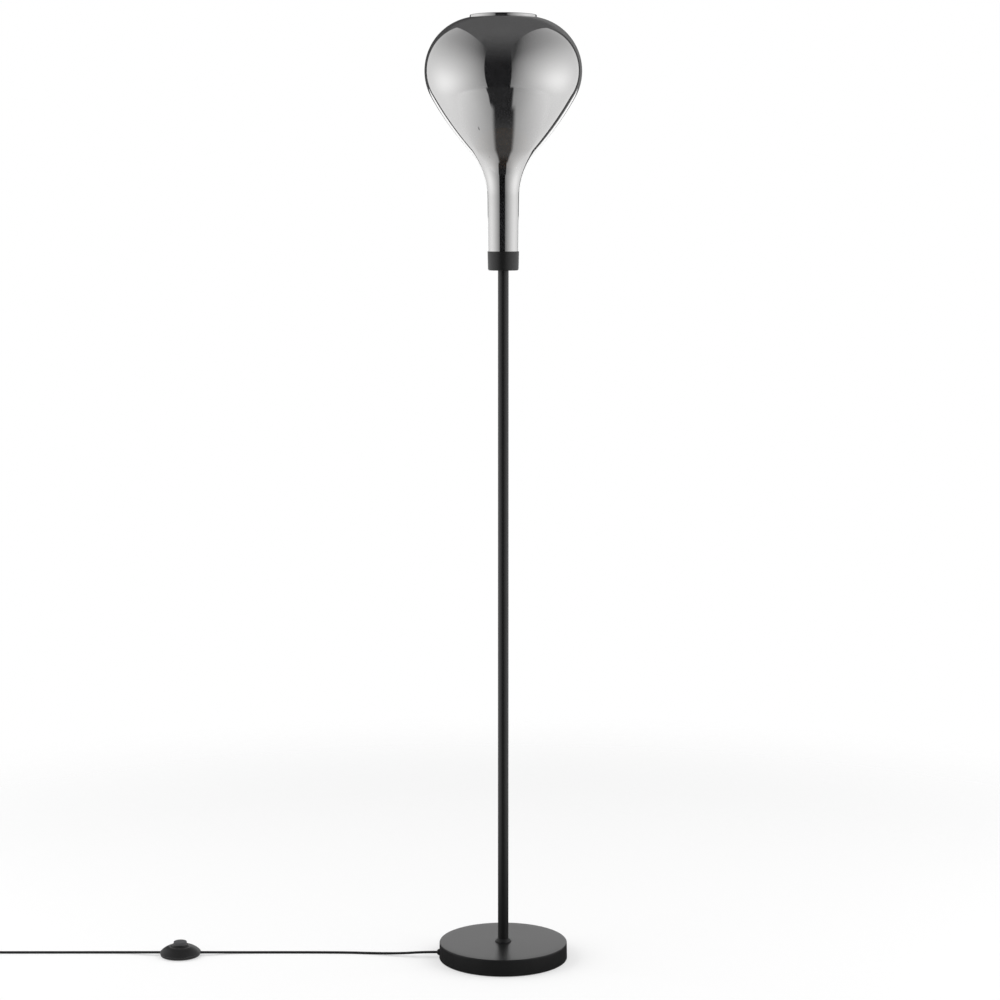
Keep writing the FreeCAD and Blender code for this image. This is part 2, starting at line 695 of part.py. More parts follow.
def shade_spacer():
    """Inverted tin that stands in the cup and carries the gasket."""
    under = SPACER_TOP_Z - SPACER_WALL
    return turned([(HOLE_RADIUS, under, 0), (SPACER_RADIUS - SPACER_WALL, under, 0),
                   (SPACER_FOOT_RADIUS - SPACER_WALL, CUP_FLOOR_Z, 0), (SPACER_FOOT_RADIUS, CUP_FLOOR_Z, 0),
                   (SPACER_RADIUS, SPACER_TOP_Z, SPACER_EDGE_RADIUS), (HOLE_RADIUS, SPACER_TOP_Z, 0)])


def riser_nuts():
    """One nut clamps the cup to the pole, the other clamps the spacer."""
    return group([hexagon(NUT_ACROSS_FLATS, HOLE_RADIUS, low, NUT_THICKNESS)
                  for low in (CUP_FLOOR_Z, SPACER_TOP_Z)])


save("shade_cup", shade_cup())
save("riser_tube", ring(THREAD_BORE_RADIUS, THREAD_RADIUS, HEAD_INSERT_LOW_Z, RISER_TOP_Z))
save("riser_nuts", riser_nuts())
save("shade_spacer", shade_spacer())
save("shade_gasket", ring(NECK_FOOT_RADIUS - GASKET_WIDTH, NECK_FOOT_RADIUS, SPACER_TOP_Z, NECK_FOOT_Z))


# ---------------------------------------------------------------- shade
def shade_wall(inset):
    """Arcs and lines of one face of the glass, from the rim's foot down to the end of the neck."""
    belly_turn = math.radians(BELLY_TURN)
    flank_turn = math.radians(FLANK_TURN)
    spent = BELLY_ARC * (1 - math.cos(belly_turn)) + FLARE_ARC * (1 - math.cos(flank_turn))
    flank_arc = (SHADE_RADIUS - NECK_TOP_RADIUS - spent) / (math.cos(belly_turn) - math.cos(flank_turn))
    dome_centre = Vec(SHADE_RADIUS - DOME_ARC, 0, WIDEST_Z)
    belly_centre = Vec(SHADE_RADIUS - BELLY_ARC, 0, WIDEST_Z)
    belly_way = Vec(math.cos(belly_turn), 0, -math.sin(belly_turn))
    flank_centre = belly_centre + belly_way * (BELLY_ARC - flank_arc)
    flank_way = Vec(math.cos(flank_turn), 0, -math.sin(flank_turn))
    flare_centre = flank_centre + flank_way * (flank_arc + FLARE_ARC)

    def on_arc(centre, radius, angle):
        return centre + Vec(math.cos(angle), 0, math.sin(angle)) * radius

    rim = RIM_RADIUS - inset
    dome = DOME_ARC - inset
    rim_angle = math.acos((rim - dome_centre.x) / dome)
    belly = BELLY_ARC - inset
    flank = flank_arc - inset
    flare = FLARE_ARC + inset
    top = on_arc(dome_centre, dome, rim_angle)
    widest = on_arc(dome_centre, dome, 0)
    belly_end = on_arc(belly_centre, belly, -belly_turn)
    flank_end = on_arc(flank_centre, flank, -flank_turn)
    flare_end = on_arc(flare_centre, flare, math.pi)
    flank_middle = on_arc(flank_centre, flank, -(belly_turn + flank_turn) / 2)
    foot = Vec(NECK_FOOT_RADIUS - inset, 0, NECK_FOOT_Z)
    edges = [Part.Arc(top, on_arc(dome_centre, dome, rim_angle / 2), widest).toShape(),
             Part.Arc(widest, on_arc(belly_centre, belly, -belly_turn / 2), belly_end).toShape(),
             Part.Arc(belly_end, flank_middle, flank_end).toShape(),
             Part.Arc(flank_end, on_arc(flare_centre, flare, math.pi - flank_turn / 2), flare_end).toShape(),
             Part.makeLine(flare_end, foot)]
    return top, edges, foot


def shade_glass():
    """Blown glass: one wall thickness, an upright rim with a round lip and a straight neck."""
    outer_top, outer_edges, outer_foot = shade_wall(0)
    inner_top, inner_edges, inner_foot = shade_wall(GLASS_WALL)
    lip_z = RIM_TOP_Z - GLASS_WALL / 2
    lip_outer = Vec(RIM_RADIUS, 0, lip_z)
    lip_inner = Vec(RIM_RADIUS - GLASS_WALL, 0, lip_z)
    lip_top = Vec(RIM_RADIUS - GLASS_WALL / 2, 0, RIM_TOP_Z)
    loop = outer_edges + [Part.makeLine(outer_foot, inner_foot)] + inner_edges
    loop += [Part.makeLine(inner_top, lip_inner), Part.Arc(lip_inner, lip_top, lip_outer).toShape(),
             Part.makeLine(lip_outer, outer_top)]
    wire = Part.Wire(Part.__sortEdges__(loop))
    return Part.Face(wire).revolve(Vec(0, 0, 0), UP, 360)


save("shade_glass", shade_glass())

# ---------------------------------------------------------------- lampholder
CAP_TOP_Z = HOLDER_LOW_Z + HOLDER_CAP_HEIGHT
SKIRT_LOW_Z = CAP_TOP_Z
SOCKET_RADIUS = CAP_RADIUS + SCREW_SHELL_GAP
SHELL_OUTER_RADIUS = SOCKET_RADIUS + SCREW_SHELL_WALL
CORE_TOP_Z = HOLDER_TOP_Z - HOLDER_LIP - CORE_TOP_GAP
SHELL_LOW_Z = BULB_CONTACT_Z + SHELL_ABOVE_CONTACT
CORE_LOW_Z = BULB_CONTACT_Z - CONTACT_SPRING_GAP - CORE_FLOOR


def holder_cap():
    """Lower half of the lampholder, screwed onto the riser."""
    inner = HOLDER_RADIUS - HOLDER_WALL
    floor = HOLDER_LOW_Z + RISER_IN_HOLDER
    return turned([(HOLE_RADIUS, HOLDER_LOW_Z, 0), (HOLDER_RADIUS, HOLDER_LOW_Z, HOLDER_CAP_EDGE_RADIUS),
                   (HOLDER_RADIUS, CAP_TOP_Z, 0), (inner, CAP_TOP_Z, 0),
                   (inner, floor, HOLDER_CAP_INNER_FILLET), (HOLE_RADIUS, floor, 0)])


def holder_skirt():
    """Upper half of the lampholder, with a lip that turns in over the screw shell."""
    inner = HOLDER_RADIUS - HOLDER_WALL
    lip_inner = SHELL_OUTER_RADIUS + LOOSE_GAP
    return turned([(inner, SKIRT_LOW_Z, 0), (HOLDER_RADIUS, SKIRT_LOW_Z, 0),
                   (HOLDER_RADIUS, HOLDER_TOP_Z, HOLDER_TOP_FILLET),
                   (lip_inner, HOLDER_TOP_Z, 0), (lip_inner, HOLDER_TOP_Z - HOLDER_LIP, 0),
                   (inner, HOLDER_TOP_Z - HOLDER_LIP, 0)])


def holder_core():
    """Insulating core that carries the screw shell and the terminals."""
    core = turned([(0, CORE_LOW_Z, 0), (CORE_RADIUS, CORE_LOW_Z, CORE_FOOT_FILLET),
                   (CORE_RADIUS, CORE_TOP_Z, 0), (SHELL_OUTER_RADIUS + SLIDE_GAP, CORE_TOP_Z, 0),
                   (SHELL_OUTER_RADIUS + SLIDE_GAP, CORE_LOW_Z + CORE_FLOOR, 0),
                   (0, CORE_LOW_Z + CORE_FLOOR, 0)])
    for side in (-1, 1):
        start = Vec(side * HOLDER_SCREW_SPREAD, 0, CORE_LOW_Z - OVERCUT)
        core = core.cut(rod(HOLDER_SCREW_RADIUS + SLIDE_GAP, start, start + UP * HOLDER_SCREW_LENGTH))
    return core


def holder_screw_shell():
    """Threaded brass shell, open at both ends."""
    return ring(SOCKET_RADIUS, SHELL_OUTER_RADIUS, SHELL_LOW_Z, HOLDER_TOP_Z - HOLDER_LIP)


def holder_contact():
    """Sprung centre contact, bent up from the core's floor to the bulb."""
    foot = CORE_LOW_Z + CORE_FLOOR
    bend_x = CONTACT_TONGUE_REACH - CONTACT_STRIP_WIDTH
    side = -CONTACT_STRIP_WIDTH / 2
    strip = Part.makeBox(CONTACT_STRIP_LENGTH, CONTACT_STRIP_WIDTH, CONTACT_STRIP_THICKNESS,
                         Vec(-CONTACT_STRIP_LENGTH, side, foot))
    tongue = Part.makeBox(CONTACT_STRIP_WIDTH, CONTACT_STRIP_WIDTH, CONTACT_STRIP_THICKNESS,
                          Vec(bend_x, side, BULB_CONTACT_Z - CONTACT_STRIP_THICKNESS))
    riser = Part.makeBox(CONTACT_STRIP_THICKNESS, CONTACT_STRIP_WIDTH, BULB_CONTACT_Z - foot,
                         Vec(bend_x, side, foot))
    return strip.fuse([tongue, riser]).removeSplitter()


def holder_terminals():
    """Two terminal screws under the core."""
    screws = []
    for side in (-1, 1):
        place = Vec(side * HOLDER_SCREW_SPREAD, 0, CORE_LOW_Z - TERMINAL_HEAD_HEIGHT)
        head = Part.makeCylinder(HOLDER_SCREW_RADIUS + TERMINAL_HEAD_GROW, TERMINAL_HEAD_HEIGHT, place)
        shank = Part.makeCylinder(HOLDER_SCREW_RADIUS, HOLDER_SCREW_LENGTH, place)
        screws.append(head.fuse(shank).removeSplitter())
    return group(screws)


def holder_wires():
    """Bare cores from the end of the lead to the terminals."""
    low = RISER_TOP_Z + CORE_WIRE_RADIUS
    high = CORE_LOW_Z - TERMINAL_HEAD_HEIGHT - CORE_WIRE_RADIUS
    reach = HOLDER_SCREW_SPREAD - TERMINAL_HEAD_GROW
    return group([rod(CORE_WIRE_RADIUS, Vec(side * CORE_WIRE_OFFSET, 0, low), Vec(side * reach, 0, high))
                  for side in (-1, 1)])


save("holder_wires", holder_wires())
save("holder_cap", holder_cap())
save("holder_skirt", holder_skirt())
save("holder_core", holder_core())
save("holder_screw_shell", holder_screw_shell())
save("holder_contact", holder_contact())
save("holder_terminals", holder_terminals())

# ---------------------------------------------------------------- bulb
BULB_TOP_Z = BULB_CONTACT_Z + BULB_LENGTH
BULB_CENTRE_Z = BULB_TOP_Z - BULB_RADIUS
CAP_LOW_Z = BULB_CONTACT_Z + CONTACT_HEIGHT + CAP_INSULATOR_HEIGHT
BULB_CAP_TOP_Z = BULB_CONTACT_Z + CAP_LENGTH
BULB_GLASS_LOW_Z = BULB_CAP_TOP_Z - GLASS_IN_CAP


def bulb_wall(inset):
    """Arcs of one face of the bulb's glass, from its top down to its neck."""
    neck = BULB_NECK_RADIUS
    shoulder_x = neck + BULB_SHOULDER_ARC
    reach = BULB_RADIUS + BULB_SHOULDER_ARC
    drop = math.sqrt(reach * reach - shoulder_x * shoulder_x)
    shoulder_centre = Vec(shoulder_x, 0, BULB_CENTRE_Z - drop)
    slope = math.atan2(drop, shoulder_x)
    centre = Vec(0, 0, BULB_CENTRE_Z)
    globe = BULB_RADIUS - inset
    shoulder = BULB_SHOULDER_ARC + inset
    top = Vec(0, 0, BULB_CENTRE_Z + globe)
    meet = centre + Vec(math.cos(-slope), 0, math.sin(-slope)) * globe
    half = (math.pi / 2 - slope) / 2
    middle = centre + Vec(math.cos(half), 0, math.sin(half)) * globe
    turn = math.pi - slope / 2
    shoulder_middle = shoulder_centre + Vec(math.cos(turn), 0, math.sin(turn)) * shoulder
    neck_top = shoulder_centre + LEFT * shoulder
    foot = Vec(CAP_RADIUS - CAP_WALL - SLIDE_GAP - inset, 0, BULB_GLASS_LOW_Z)
    collar = Vec(foot.x, 0, BULB_CAP_TOP_Z)
    edges = [Part.Arc(top, middle, meet).toShape(), Part.Arc(meet, shoulder_middle, neck_top).toShape(),
             Part.makeLine(neck_top, collar), Part.makeLine(collar, foot)]
    return top, edges, foot


def bulb_glass():
    """Thin glass envelope, closed at the top and open at the cap."""
    outer_top, outer_edges, outer_foot = bulb_wall(0)
    inner_top, inner_edges, inner_foot = bulb_wall(BULB_GLASS_WALL)
    loop = outer_edges + [Part.makeLine(outer_foot, inner_foot)] + inner_edges
    loop.append(Part.makeLine(inner_top, outer_top))
    wire = Part.Wire(Part.__sortEdges__(loop))
    return Part.Face(wire).revolve(Vec(0, 0, 0), UP, 360)


def bulb_cap():
    """Rolled metal screw cap."""
    hole = CAP_INSULATOR_RADIUS - CAP_WALL
    inner = CAP_RADIUS - CAP_WALL
    shoulder = CAP_LOW_Z + CAP_SHOULDER_HEIGHT
    return turned([(hole, CAP_LOW_Z, 0), (CAP_RADIUS - CAP_SHOULDER_WIDTH, CAP_LOW_Z, CAP_FILLET),
                   (CAP_RADIUS, shoulder, CAP_FILLET), (CAP_RADIUS, BULB_CAP_TOP_Z, 0),
                   (inner, BULB_CAP_TOP_Z, 0), (inner, shoulder, 0),
                   (inner - CAP_SHOULDER_WIDTH, CAP_LOW_Z + CAP_WALL, 0), (hole, CAP_LOW_Z + CAP_WALL, 0)])


def bulb_insulator():
    """Glass button between the cap and the centre contact."""
    low = BULB_CONTACT_Z + CONTACT_HEIGHT
    return turned([(0, low, 0), (CONTACT_RADIUS, low, 0),
                   (CAP_INSULATOR_RADIUS, CAP_LOW_Z, INSULATOR_FILLET), (0, CAP_LOW_Z, 0)])


def bulb_contact():
    """Solder button at the end of the bulb."""
    low = BULB_CONTACT_Z
    high = low + CONTACT_HEIGHT
    return turned([(0, low, 0), (CONTACT_RADIUS, low, CONTACT_FILLET), (CONTACT_RADIUS, high, 0),
                   (0, high, 0)])


def bulb_stem():
    """Glass stem with a flared foot."""
    low = BULB_CAP_TOP_Z - STEM_IN_CAP
    return turned([(0, low, 0), (STEM_FLARE_RADIUS, low, 0),
                   (STEM_RADIUS, low + STEM_FLARE_HEIGHT, STEM_FLARE_FILLET),
                   (STEM_RADIUS, STEM_TOP_Z, STEM_TOP_FILLET), (0, STEM_TOP_Z, 0)])


def filament_ends():
    """Lower and upper end of each filament, leaning in towards the top."""
    ends = []
    lows = around(FILAMENT_COUNT, FILAMENT_FOOT_SPREAD, 45)
    tops = around(FILAMENT_COUNT, FILAMENT_TOP_SPREAD, 45)
    for low, top in zip(lows, tops):
        ends.append((low + UP * FILAMENT_FOOT_Z, top + UP * FILAMENT_TOP_Z))
    return ends


def bulb_filaments():
    """Straight filaments, set in a ring."""
    return group([rod(FILAMENT_RADIUS, low, top) for low, top in filament_ends()])


def bulb_supports():
    """Wires that hold the filaments off the stem, below and above."""
    wires = []
    stem_low = UP * (STEM_TOP_Z - SUPPORT_BELOW_STEM_TOP)
    for low, top in filament_ends():
        outward = Vec(low.x, low.y, 0).normalize()
        wires.append(rod(SUPPORT_WIRE_RADIUS, stem_low + outward * STEM_RADIUS, low))
    hub = Vec(0, 0, FILAMENT_TOP_Z + SUPPORT_HUB_RISE)
    mast = rod(SUPPORT_WIRE_RADIUS, Vec(0, 0, STEM_TOP_Z), hub)
    for low, top in filament_ends():
        mast = mast.fuse(rod(SUPPORT_WIRE_RADIUS, hub, top))
    wires.append(mast)
    return group(wires)


save("bulb_cap", bulb_cap())
save("bulb_insulator", bulb_insulator())
save("bulb_contact", bulb_contact())
save("bulb_glass", bulb_glass())
save("bulb_stem", bulb_stem())
save("bulb_filaments", bulb_filaments())
save("bulb_supports", bulb_supports())

# ---------------------------------------------------------------- lead
SWITCH_LEAD_OUT_X = SWITCH_X - LEAD_IN_SWITCH_X
SWITCH_LEAD_IN_X = SWITCH_X + LEAD_IN_SWITCH_X


def inner_lead():
    """The lead inside the lamp: level through the base, then up the pole to the lampholder."""
    diagonal = LEAD_BEND_RADIUS / math.sqrt(2)
    start = Vec(LEAD_FACE_X, 0, LEAD_GLAND_Z)
    turn_start = Vec(-LEAD_BEND_RADIUS, 0, LEAD_GLAND_Z)
    turn_end = Vec(0, 0, LEAD_GLAND_Z + LEAD_BEND_RADIUS)
    middle = turn_end + LEFT * LEAD_BEND_RADIUS + Vec(diagonal, 0, -diagonal)
    end = Vec(0, 0, RISER_TOP_Z)
    path = Part.Wire([Part.makeLine(start, turn_start), Part.Arc(turn_start, middle, turn_end).toShape(),
                      Part.makeLine(turn_end, end)])
    solid = sweep(path, flat_section(start, BACK, UP), BACK)
    report_tube("inner_lead", solid, path)
    return solid


def lead_to_switch():
    """Free lead from the gland down to the floor and along it into the switch."""
    points = [Vec(LEAD_FACE_X, 0, LEAD_GLAND_Z), Vec(-125, 0, LEAD_GLAND_Z), Vec(-160, 6, 4.6),
              Vec(-202, 15, 1.9), Vec(-254, LEAD_FLOOR_Y + 0.8, LEAD_FLOOR_Z),
              Vec(-430, LEAD_FLOOR_Y + 0.4, LEAD_FLOOR_Z),
              Vec(SWITCH_LEAD_IN_X + SWITCH_RUN_LENGTH, SWITCH_Y, LEAD_SWITCH_Z),
              Vec(SWITCH_LEAD_IN_X, SWITCH_Y, LEAD_SWITCH_Z)]
    path = route(points, "lead_to_switch")
    first = (points[1] - points[0]).normalize()
    wide = UP.cross(first).normalize()
    solid = sweep(path, flat_section(points[0], wide, first.cross(wide)), UP)
    report_tube("lead_to_switch", solid, path)
    return solid


def twisted_run(start, end, first_wide, last_wide):
    """Straight run in which the flat lead turns a quarter about itself while its middle rises or falls."""
    flat_end = Vec(end.x, end.y, start.z)
    along = (flat_end - start).normalize()
    sections = []
    for step in range(TWIST_STEPS + 1):
        share = step / TWIST_STEPS
        angle = math.radians(90 * share)
        wide = first_wide * math.cos(angle) + last_wide * math.sin(angle)
        centre = start + (flat_end - start) * share + UP * ((end.z - start.z) * math.sin(angle))
        sections.append(flat_section(centre, wide, along.cross(wide)))
    return Part.makeLoft(sections, True)


def lead_to_plug():
    """Free lead from the switch along the floor."""
    points = [Vec(SWITCH_LEAD_OUT_X, SWITCH_Y, LEAD_SWITCH_Z),
              Vec(SWITCH_LEAD_OUT_X - SWITCH_RUN_LENGTH, SWITCH_Y, LEAD_SWITCH_Z),
              Vec(-586, LEAD_FLOOR_Y + 0.7, LEAD_FLOOR_Z), Vec(-762, LEAD_FLOOR_Y, LEAD_FLOOR_Z),
              Vec(TWIST_START_X, LEAD_FLOOR_Y, LEAD_FLOOR_Z)]
    path = route(points, "lead_to_plug")
    first = (points[1] - points[0]).normalize()
    wide = UP.cross(first).normalize()
    solid = sweep(path, flat_section(points[0], wide, first.cross(wide)), UP)
    report_tube("lead_to_plug", solid, path)
    return solid


def lead_twist():
    """Quarter twist that sets the lead on edge for the coil, its lower edge on the floor."""
    start = Vec(TWIST_START_X, LEAD_FLOOR_Y, LEAD_FLOOR_Z)
    end = Vec(TWIST_START_X - TWIST_LENGTH, LEAD_FLOOR_Y, COIL_LOW_Z)
    return twisted_run(start, end, BACK, UP)


COIL_LOW_Z = LEAD_WIDTH / 2 + COIL_LIFT
COIL_X = TWIST_START_X - TWIST_LENGTH - LEAD_WIDTH
COIL_Y = LEAD_FLOOR_Y - COIL_OUTER_RADIUS


def coil_point(turns):
    """Point of the coil after so many turns: inwards on the floor, a rise of one layer, outwards again."""
    drawn_in = COIL_PITCH * (COIL_LAYER_TURNS - abs(COIL_LAYER_TURNS - turns))
    radius = COIL_OUTER_RADIUS - drawn_in
    share = min(max((turns - COIL_LAYER_TURNS) / COIL_RISE_TURNS + 0.5, 0), 1)
    height = COIL_LOW_Z + COIL_LAYER_RISE * share * share * (3 - 2 * share)
    angle = math.pi / 2 + 2 * math.pi * turns
    return Vec(COIL_X + radius * math.cos(angle), COIL_Y + radius * math.sin(angle), height)


def coil_heading(turns):
    """Direction of the coil at a point, from a small step each way."""
    step = 0.01
    if turns == 0:
        return Vec(LEFT)
    if turns == COIL_TURNS:
        return Vec(FRONT)
    return (coil_point(turns + step) - coil_point(turns - step)).normalize()


def coil_path():
    """Straight end, a pair of arcs for each quarter turn, straight end."""
    quarters = int(round(COIL_TURNS * 4))
    start = coil_point(0)
    edges = [Part.makeLine(start + RIGHT * LEAD_WIDTH, start)]
    for index in range(quarters):
        first = COIL_TURNS * index / quarters
        last = COIL_TURNS * (index + 1) / quarters
        edges += biarc(coil_point(first), coil_heading(first), coil_point(last), coil_heading(last))
    end = coil_point(COIL_TURNS)
    edges.append(Part.makeLine(end, end + FRONT * LEAD_WIDTH))
    return Part.Wire(Part.__sortEdges__(edges))


def coil_gap(path):
    """Least gap between two turns of the coil, measured on points along its middle line."""
    samples = path.discretize(Number=COIL_GAP_SAMPLES)
    apart = int(COIL_GAP_SKIP / path.Length * COIL_GAP_SAMPLES)
    core = LEAD_WIDTH - LEAD_THICKNESS
    gaps = []
    for index, point in enumerate(samples):
        for other in samples[index + apart:]:
            across = math.hypot(point.x - other.x, point.y - other.y)
            above = max(abs(point.z - other.z) - core, 0)
            gaps.append(math.hypot(across, above) - LEAD_THICKNESS)
    return min(gaps)


def lead_coil():
    """The put-away length of the lead, on edge: two layers of loops round one another."""
    path = coil_path()
    solid = sweep(path, flat_section(coil_point(0) + RIGHT * LEAD_WIDTH, UP, BACK))
    report_tube("lead_coil", solid, path)
    print("lead_coil least gap to itself in mm:", round(coil_gap(path), 2))
    return solid


PLUG_LEAD_START = coil_point(COIL_TURNS) + FRONT * LEAD_WIDTH
PLUG_X = PLUG_LEAD_START.x
PLUG_REAR_Y = PLUG_LEAD_START.y - PLUG_LEAD_LENGTH
PLUG_Z = PLUG_HEIGHT / 2


def plug_lead():
    """Last run of the lead, turned flat again on its way down to the plug."""
    end = Vec(PLUG_X, PLUG_REAR_Y, PLUG_Z)
    return twisted_run(PLUG_LEAD_START, end, UP, RIGHT)


save("inner_lead", inner_lead())
save("lead_to_switch", lead_to_switch())
save("lead_to_plug", lead_to_plug())
save("lead_twist", lead_twist())
save("lead_coil", lead_coil())
save("plug_lead", plug_lead())


# ---------------------------------------------------------------- plug
def plug_outline():
    """Flat plug seen from above: a straight front part and shoulders that draw in to the lead."""
    front = PLUG_REAR_Y - PLUG_LENGTH
    shoulder = PLUG_REAR_Y - PLUG_SHOULDER
    half = PLUG_WIDTH / 2
    rear = PLUG_REAR_WIDTH / 2
    return [(Vec(PLUG_X - half, front, 0), PLUG_CORNER_RADIUS),
            (Vec(PLUG_X + half, front, 0), PLUG_CORNER_RADIUS),
            (Vec(PLUG_X + half, shoulder, 0), PLUG_SHOULDER_RADIUS),
            (Vec(PLUG_X + rear, PLUG_REAR_Y, 0), PLUG_CORNER_RADIUS),
            (Vec(PLUG_X - rear, PLUG_REAR_Y, 0), PLUG_CORNER_RADIUS),
            (Vec(PLUG_X - half, shoulder, 0), PLUG_SHOULDER_RADIUS)]


def plug_body():
    """Moulded body with a hole for each pin's root."""
    body = Part.Face(rounded_wire(plug_outline())).extrude(UP * PLUG_HEIGHT)
    rims = [edge for edge in body.Edges if abs(edge.Vertexes[0].Z - edge.Vertexes[-1].Z) < TINY]
    body = body.makeFillet(PLUG_EDGE_RADIUS, rims)
    for start, end in pin_lines():
        inward = (start - end).normalize()
        body = body.cut(rod(PIN_RADIUS + SLIDE_GAP, start - inward * OVERCUT, start + inward * PIN_ROOT))
    return body


def pin_lines():
    """Root and tip of each pin's free length."""
    front = PLUG_REAR_Y - PLUG_LENGTH
    lines = []
    for side in (-1, 1):
        root = Vec(PLUG_X + side * PIN_SPREAD / 2, front, PLUG_Z)
        lines.append((root, root + FRONT * PIN_LENGTH))
    return lines


def plug_pins():
    """Two round pins, thinner where their sleeves sit."""
    pins = []
    for root, tip in pin_lines():
        inward = (root - tip).normalize()
        inner = root + inward * PIN_ROOT
        sleeve_end = root - inward * SLEEVE_LENGTH
        core = rod(SLEEVE_RADIUS - SLEEVE_WALL, root, sleeve_end)
        nose = rod(PIN_RADIUS, sleeve_end, tip)
        front_rim = [edge for edge in nose.Edges if (edge.BoundBox.Center - tip).Length < TINY]
        nose = nose.makeFillet(PIN_NOSE_RADIUS, front_rim)
        pins.append(rod(PIN_RADIUS, inner, root).fuse([core, nose]).removeSplitter())
    return group(pins)


def plug_sleeves():
    """Insulating sleeve round the first part of each pin."""
    sleeves = []
    for root, tip in pin_lines():
        end = root + (tip - root).normalize() * SLEEVE_LENGTH
        bore = rod(SLEEVE_RADIUS - SLEEVE_WALL + SLEEVE_GAP, root, end)
        sleeves.append(rod(SLEEVE_RADIUS, root, end).cut(bore))
    return group(sleeves)


save("plug_body", plug_body())
save("plug_pins", plug_pins())
save("plug_sleeves", plug_sleeves())

# ---------------------------------------------------------------- foot switch
SWITCH_LOW_Z = SWITCH_FEET_HEIGHT
SWITCH_FLOOR_Z = SWITCH_LOW_Z + SWITCH_FLOOR
COLLAR_INNER_RADIUS = BUTTON_RADIUS + RUN_GAP
COLLAR_OUTER_RADIUS = COLLAR_INNER_RADIUS + SWITCH_COLLAR_WALL
FLANGE_RADIUS = BUTTON_RADIUS + BUTTON_FLANGE
FLANGE_TOP_Z = BUTTON_FOOT_Z + BUTTON_FLANGE_HEIGHT
ROTOR_LOW_Z = SWITCH_FLOOR_Z + LOOSE_GAP
ROTOR_TOP_Z = ROTOR_LOW_Z + ROTOR_THICKNESS
BUTTON_ROOF_Z = BUTTON_TOP_Z - BUTTON_CROWN - BUTTON_WALL
SWITCH_CLAMP_LOW_Z = LEAD_SWITCH_Z + LEAD_THICKNESS / 2 + SWITCH_CLAMP_GAP
SWITCH_PLACE = Vec(SWITCH_X, SWITCH_Y, 0)


def at_switch(shape):
    """Move a shape that was made about the origin to the switch's place."""
    shape.translate(SWITCH_PLACE)
    return shape


def lead_ways():
    """Passages for the lead through both sides of the switch."""
    ways = []
    for side in (-1, 1):
        start = Vec(side * LEAD_IN_SWITCH_X, 0, LEAD_SWITCH_Z)
        along = Vec(side * SWITCH_WAY_LENGTH, 0, 0)
        ways.append(Part.Face(flat_section(start, BACK, UP, LOOSE_GAP)).extrude(along))
    return ways


def switch_screw_places():
    """Middle of each screw that joins the two halves."""
    return around(SWITCH_SCREW_COUNT, SWITCH_SCREW_CIRCLE, 90)


def switch_base():
    """Shallow tray with the rotor's pivot."""
    inner = SWITCH_RADIUS - SWITCH_WALL
    tray = turned([(0, SWITCH_LOW_Z, 0), (SWITCH_FOOT_RADIUS, SWITCH_LOW_Z, SWITCH_EDGE_RADIUS),
                   (SWITCH_RADIUS, SWITCH_SPLIT_Z, 0), (inner, SWITCH_SPLIT_Z, 0),
                   (inner, SWITCH_FLOOR_Z, 0), (0, SWITCH_FLOOR_Z, 0)])
    pivot_top = ROTOR_TOP_Z + PIVOT_ABOVE_ROTOR
    pivot = Part.makeCylinder(PIVOT_RADIUS, pivot_top - SWITCH_FLOOR_Z, UP * SWITCH_FLOOR_Z)
    tray = tray.fuse(pivot).removeSplitter()
    for place in switch_screw_places():
        hole = Part.makeCylinder(SWITCH_SCREW_RADIUS + SLIDE_GAP, SWITCH_FLOOR, place + UP * SWITCH_LOW_Z)
        sink = Part.makeCylinder(SWITCH_SCREW_RADIUS + SWITCH_SCREW_HEAD_GROW + SLIDE_GAP, SWITCH_SCREW_SINK,
                                 place + UP * SWITCH_LOW_Z)
        tray = tray.cut([hole, sink])
    return at_switch(tray.cut(lead_ways()))


def switch_cover():
    """Domed cover that flares up into the button's collar, with three screw bosses inside."""
    inner = SWITCH_RADIUS - SWITCH_WALL
    low = SWITCH_SPLIT_Z
    brim = low + SWITCH_BRIM
    collar_foot = FLANGE_TOP_Z + LOOSE_GAP
    foot = Vec(SWITCH_RADIUS, 0, low)
    foot_top = Vec(SWITCH_RADIUS, 0, brim)
    dome_edge = Vec(SWITCH_DOME_RADIUS, 0, SWITCH_DOME_Z)
    collar_outer = Vec(COLLAR_OUTER_RADIUS, 0, SWITCH_COLLAR_Z)
    collar_inner = Vec(COLLAR_INNER_RADIUS, 0, SWITCH_COLLAR_Z)
    collar_low = Vec(COLLAR_INNER_RADIUS, 0, collar_foot)
    shelf = Vec(FLANGE_RADIUS + LOOSE_GAP, 0, collar_foot)
    inner_top = Vec(inner, 0, brim)
    inner_foot = Vec(inner, 0, low)
    edges = [
        Part.makeLine(inner_foot, foot),
        Part.makeLine(foot, foot_top),
        bulged(foot_top, dome_edge, SWITCH_DOME_BULGE),
        bulged(dome_edge, collar_outer, -SWITCH_FLARE_DIP),
        Part.makeLine(collar_outer, collar_inner),
        Part.makeLine(collar_inner, collar_low),
        Part.makeLine(collar_low, shelf),
        bulged(inner_top, shelf, SWITCH_DOME_BULGE),
        Part.makeLine(inner_top, inner_foot),
    ]
    dome = Part.Face(Part.Wire(Part.__sortEdges__(edges))).revolve(Vec(0, 0, 0), UP, 360)
    for place in switch_screw_places():
        boss = Part.makeCylinder(SWITCH_BOSS_RADIUS, SWITCH_BOSS_HEIGHT, place + UP * SWITCH_FLOOR_Z)
        dome = dome.fuse(boss)
    for place in switch_screw_places():
        dome = dome.cut(Part.makeCylinder(SWITCH_SCREW_RADIUS + SLIDE_GAP, SWITCH_SCREW_LENGTH + OVERCUT,
                                          place + UP * SWITCH_LOW_Z))
    return at_switch(dome.removeSplitter().cut(lead_ways()))


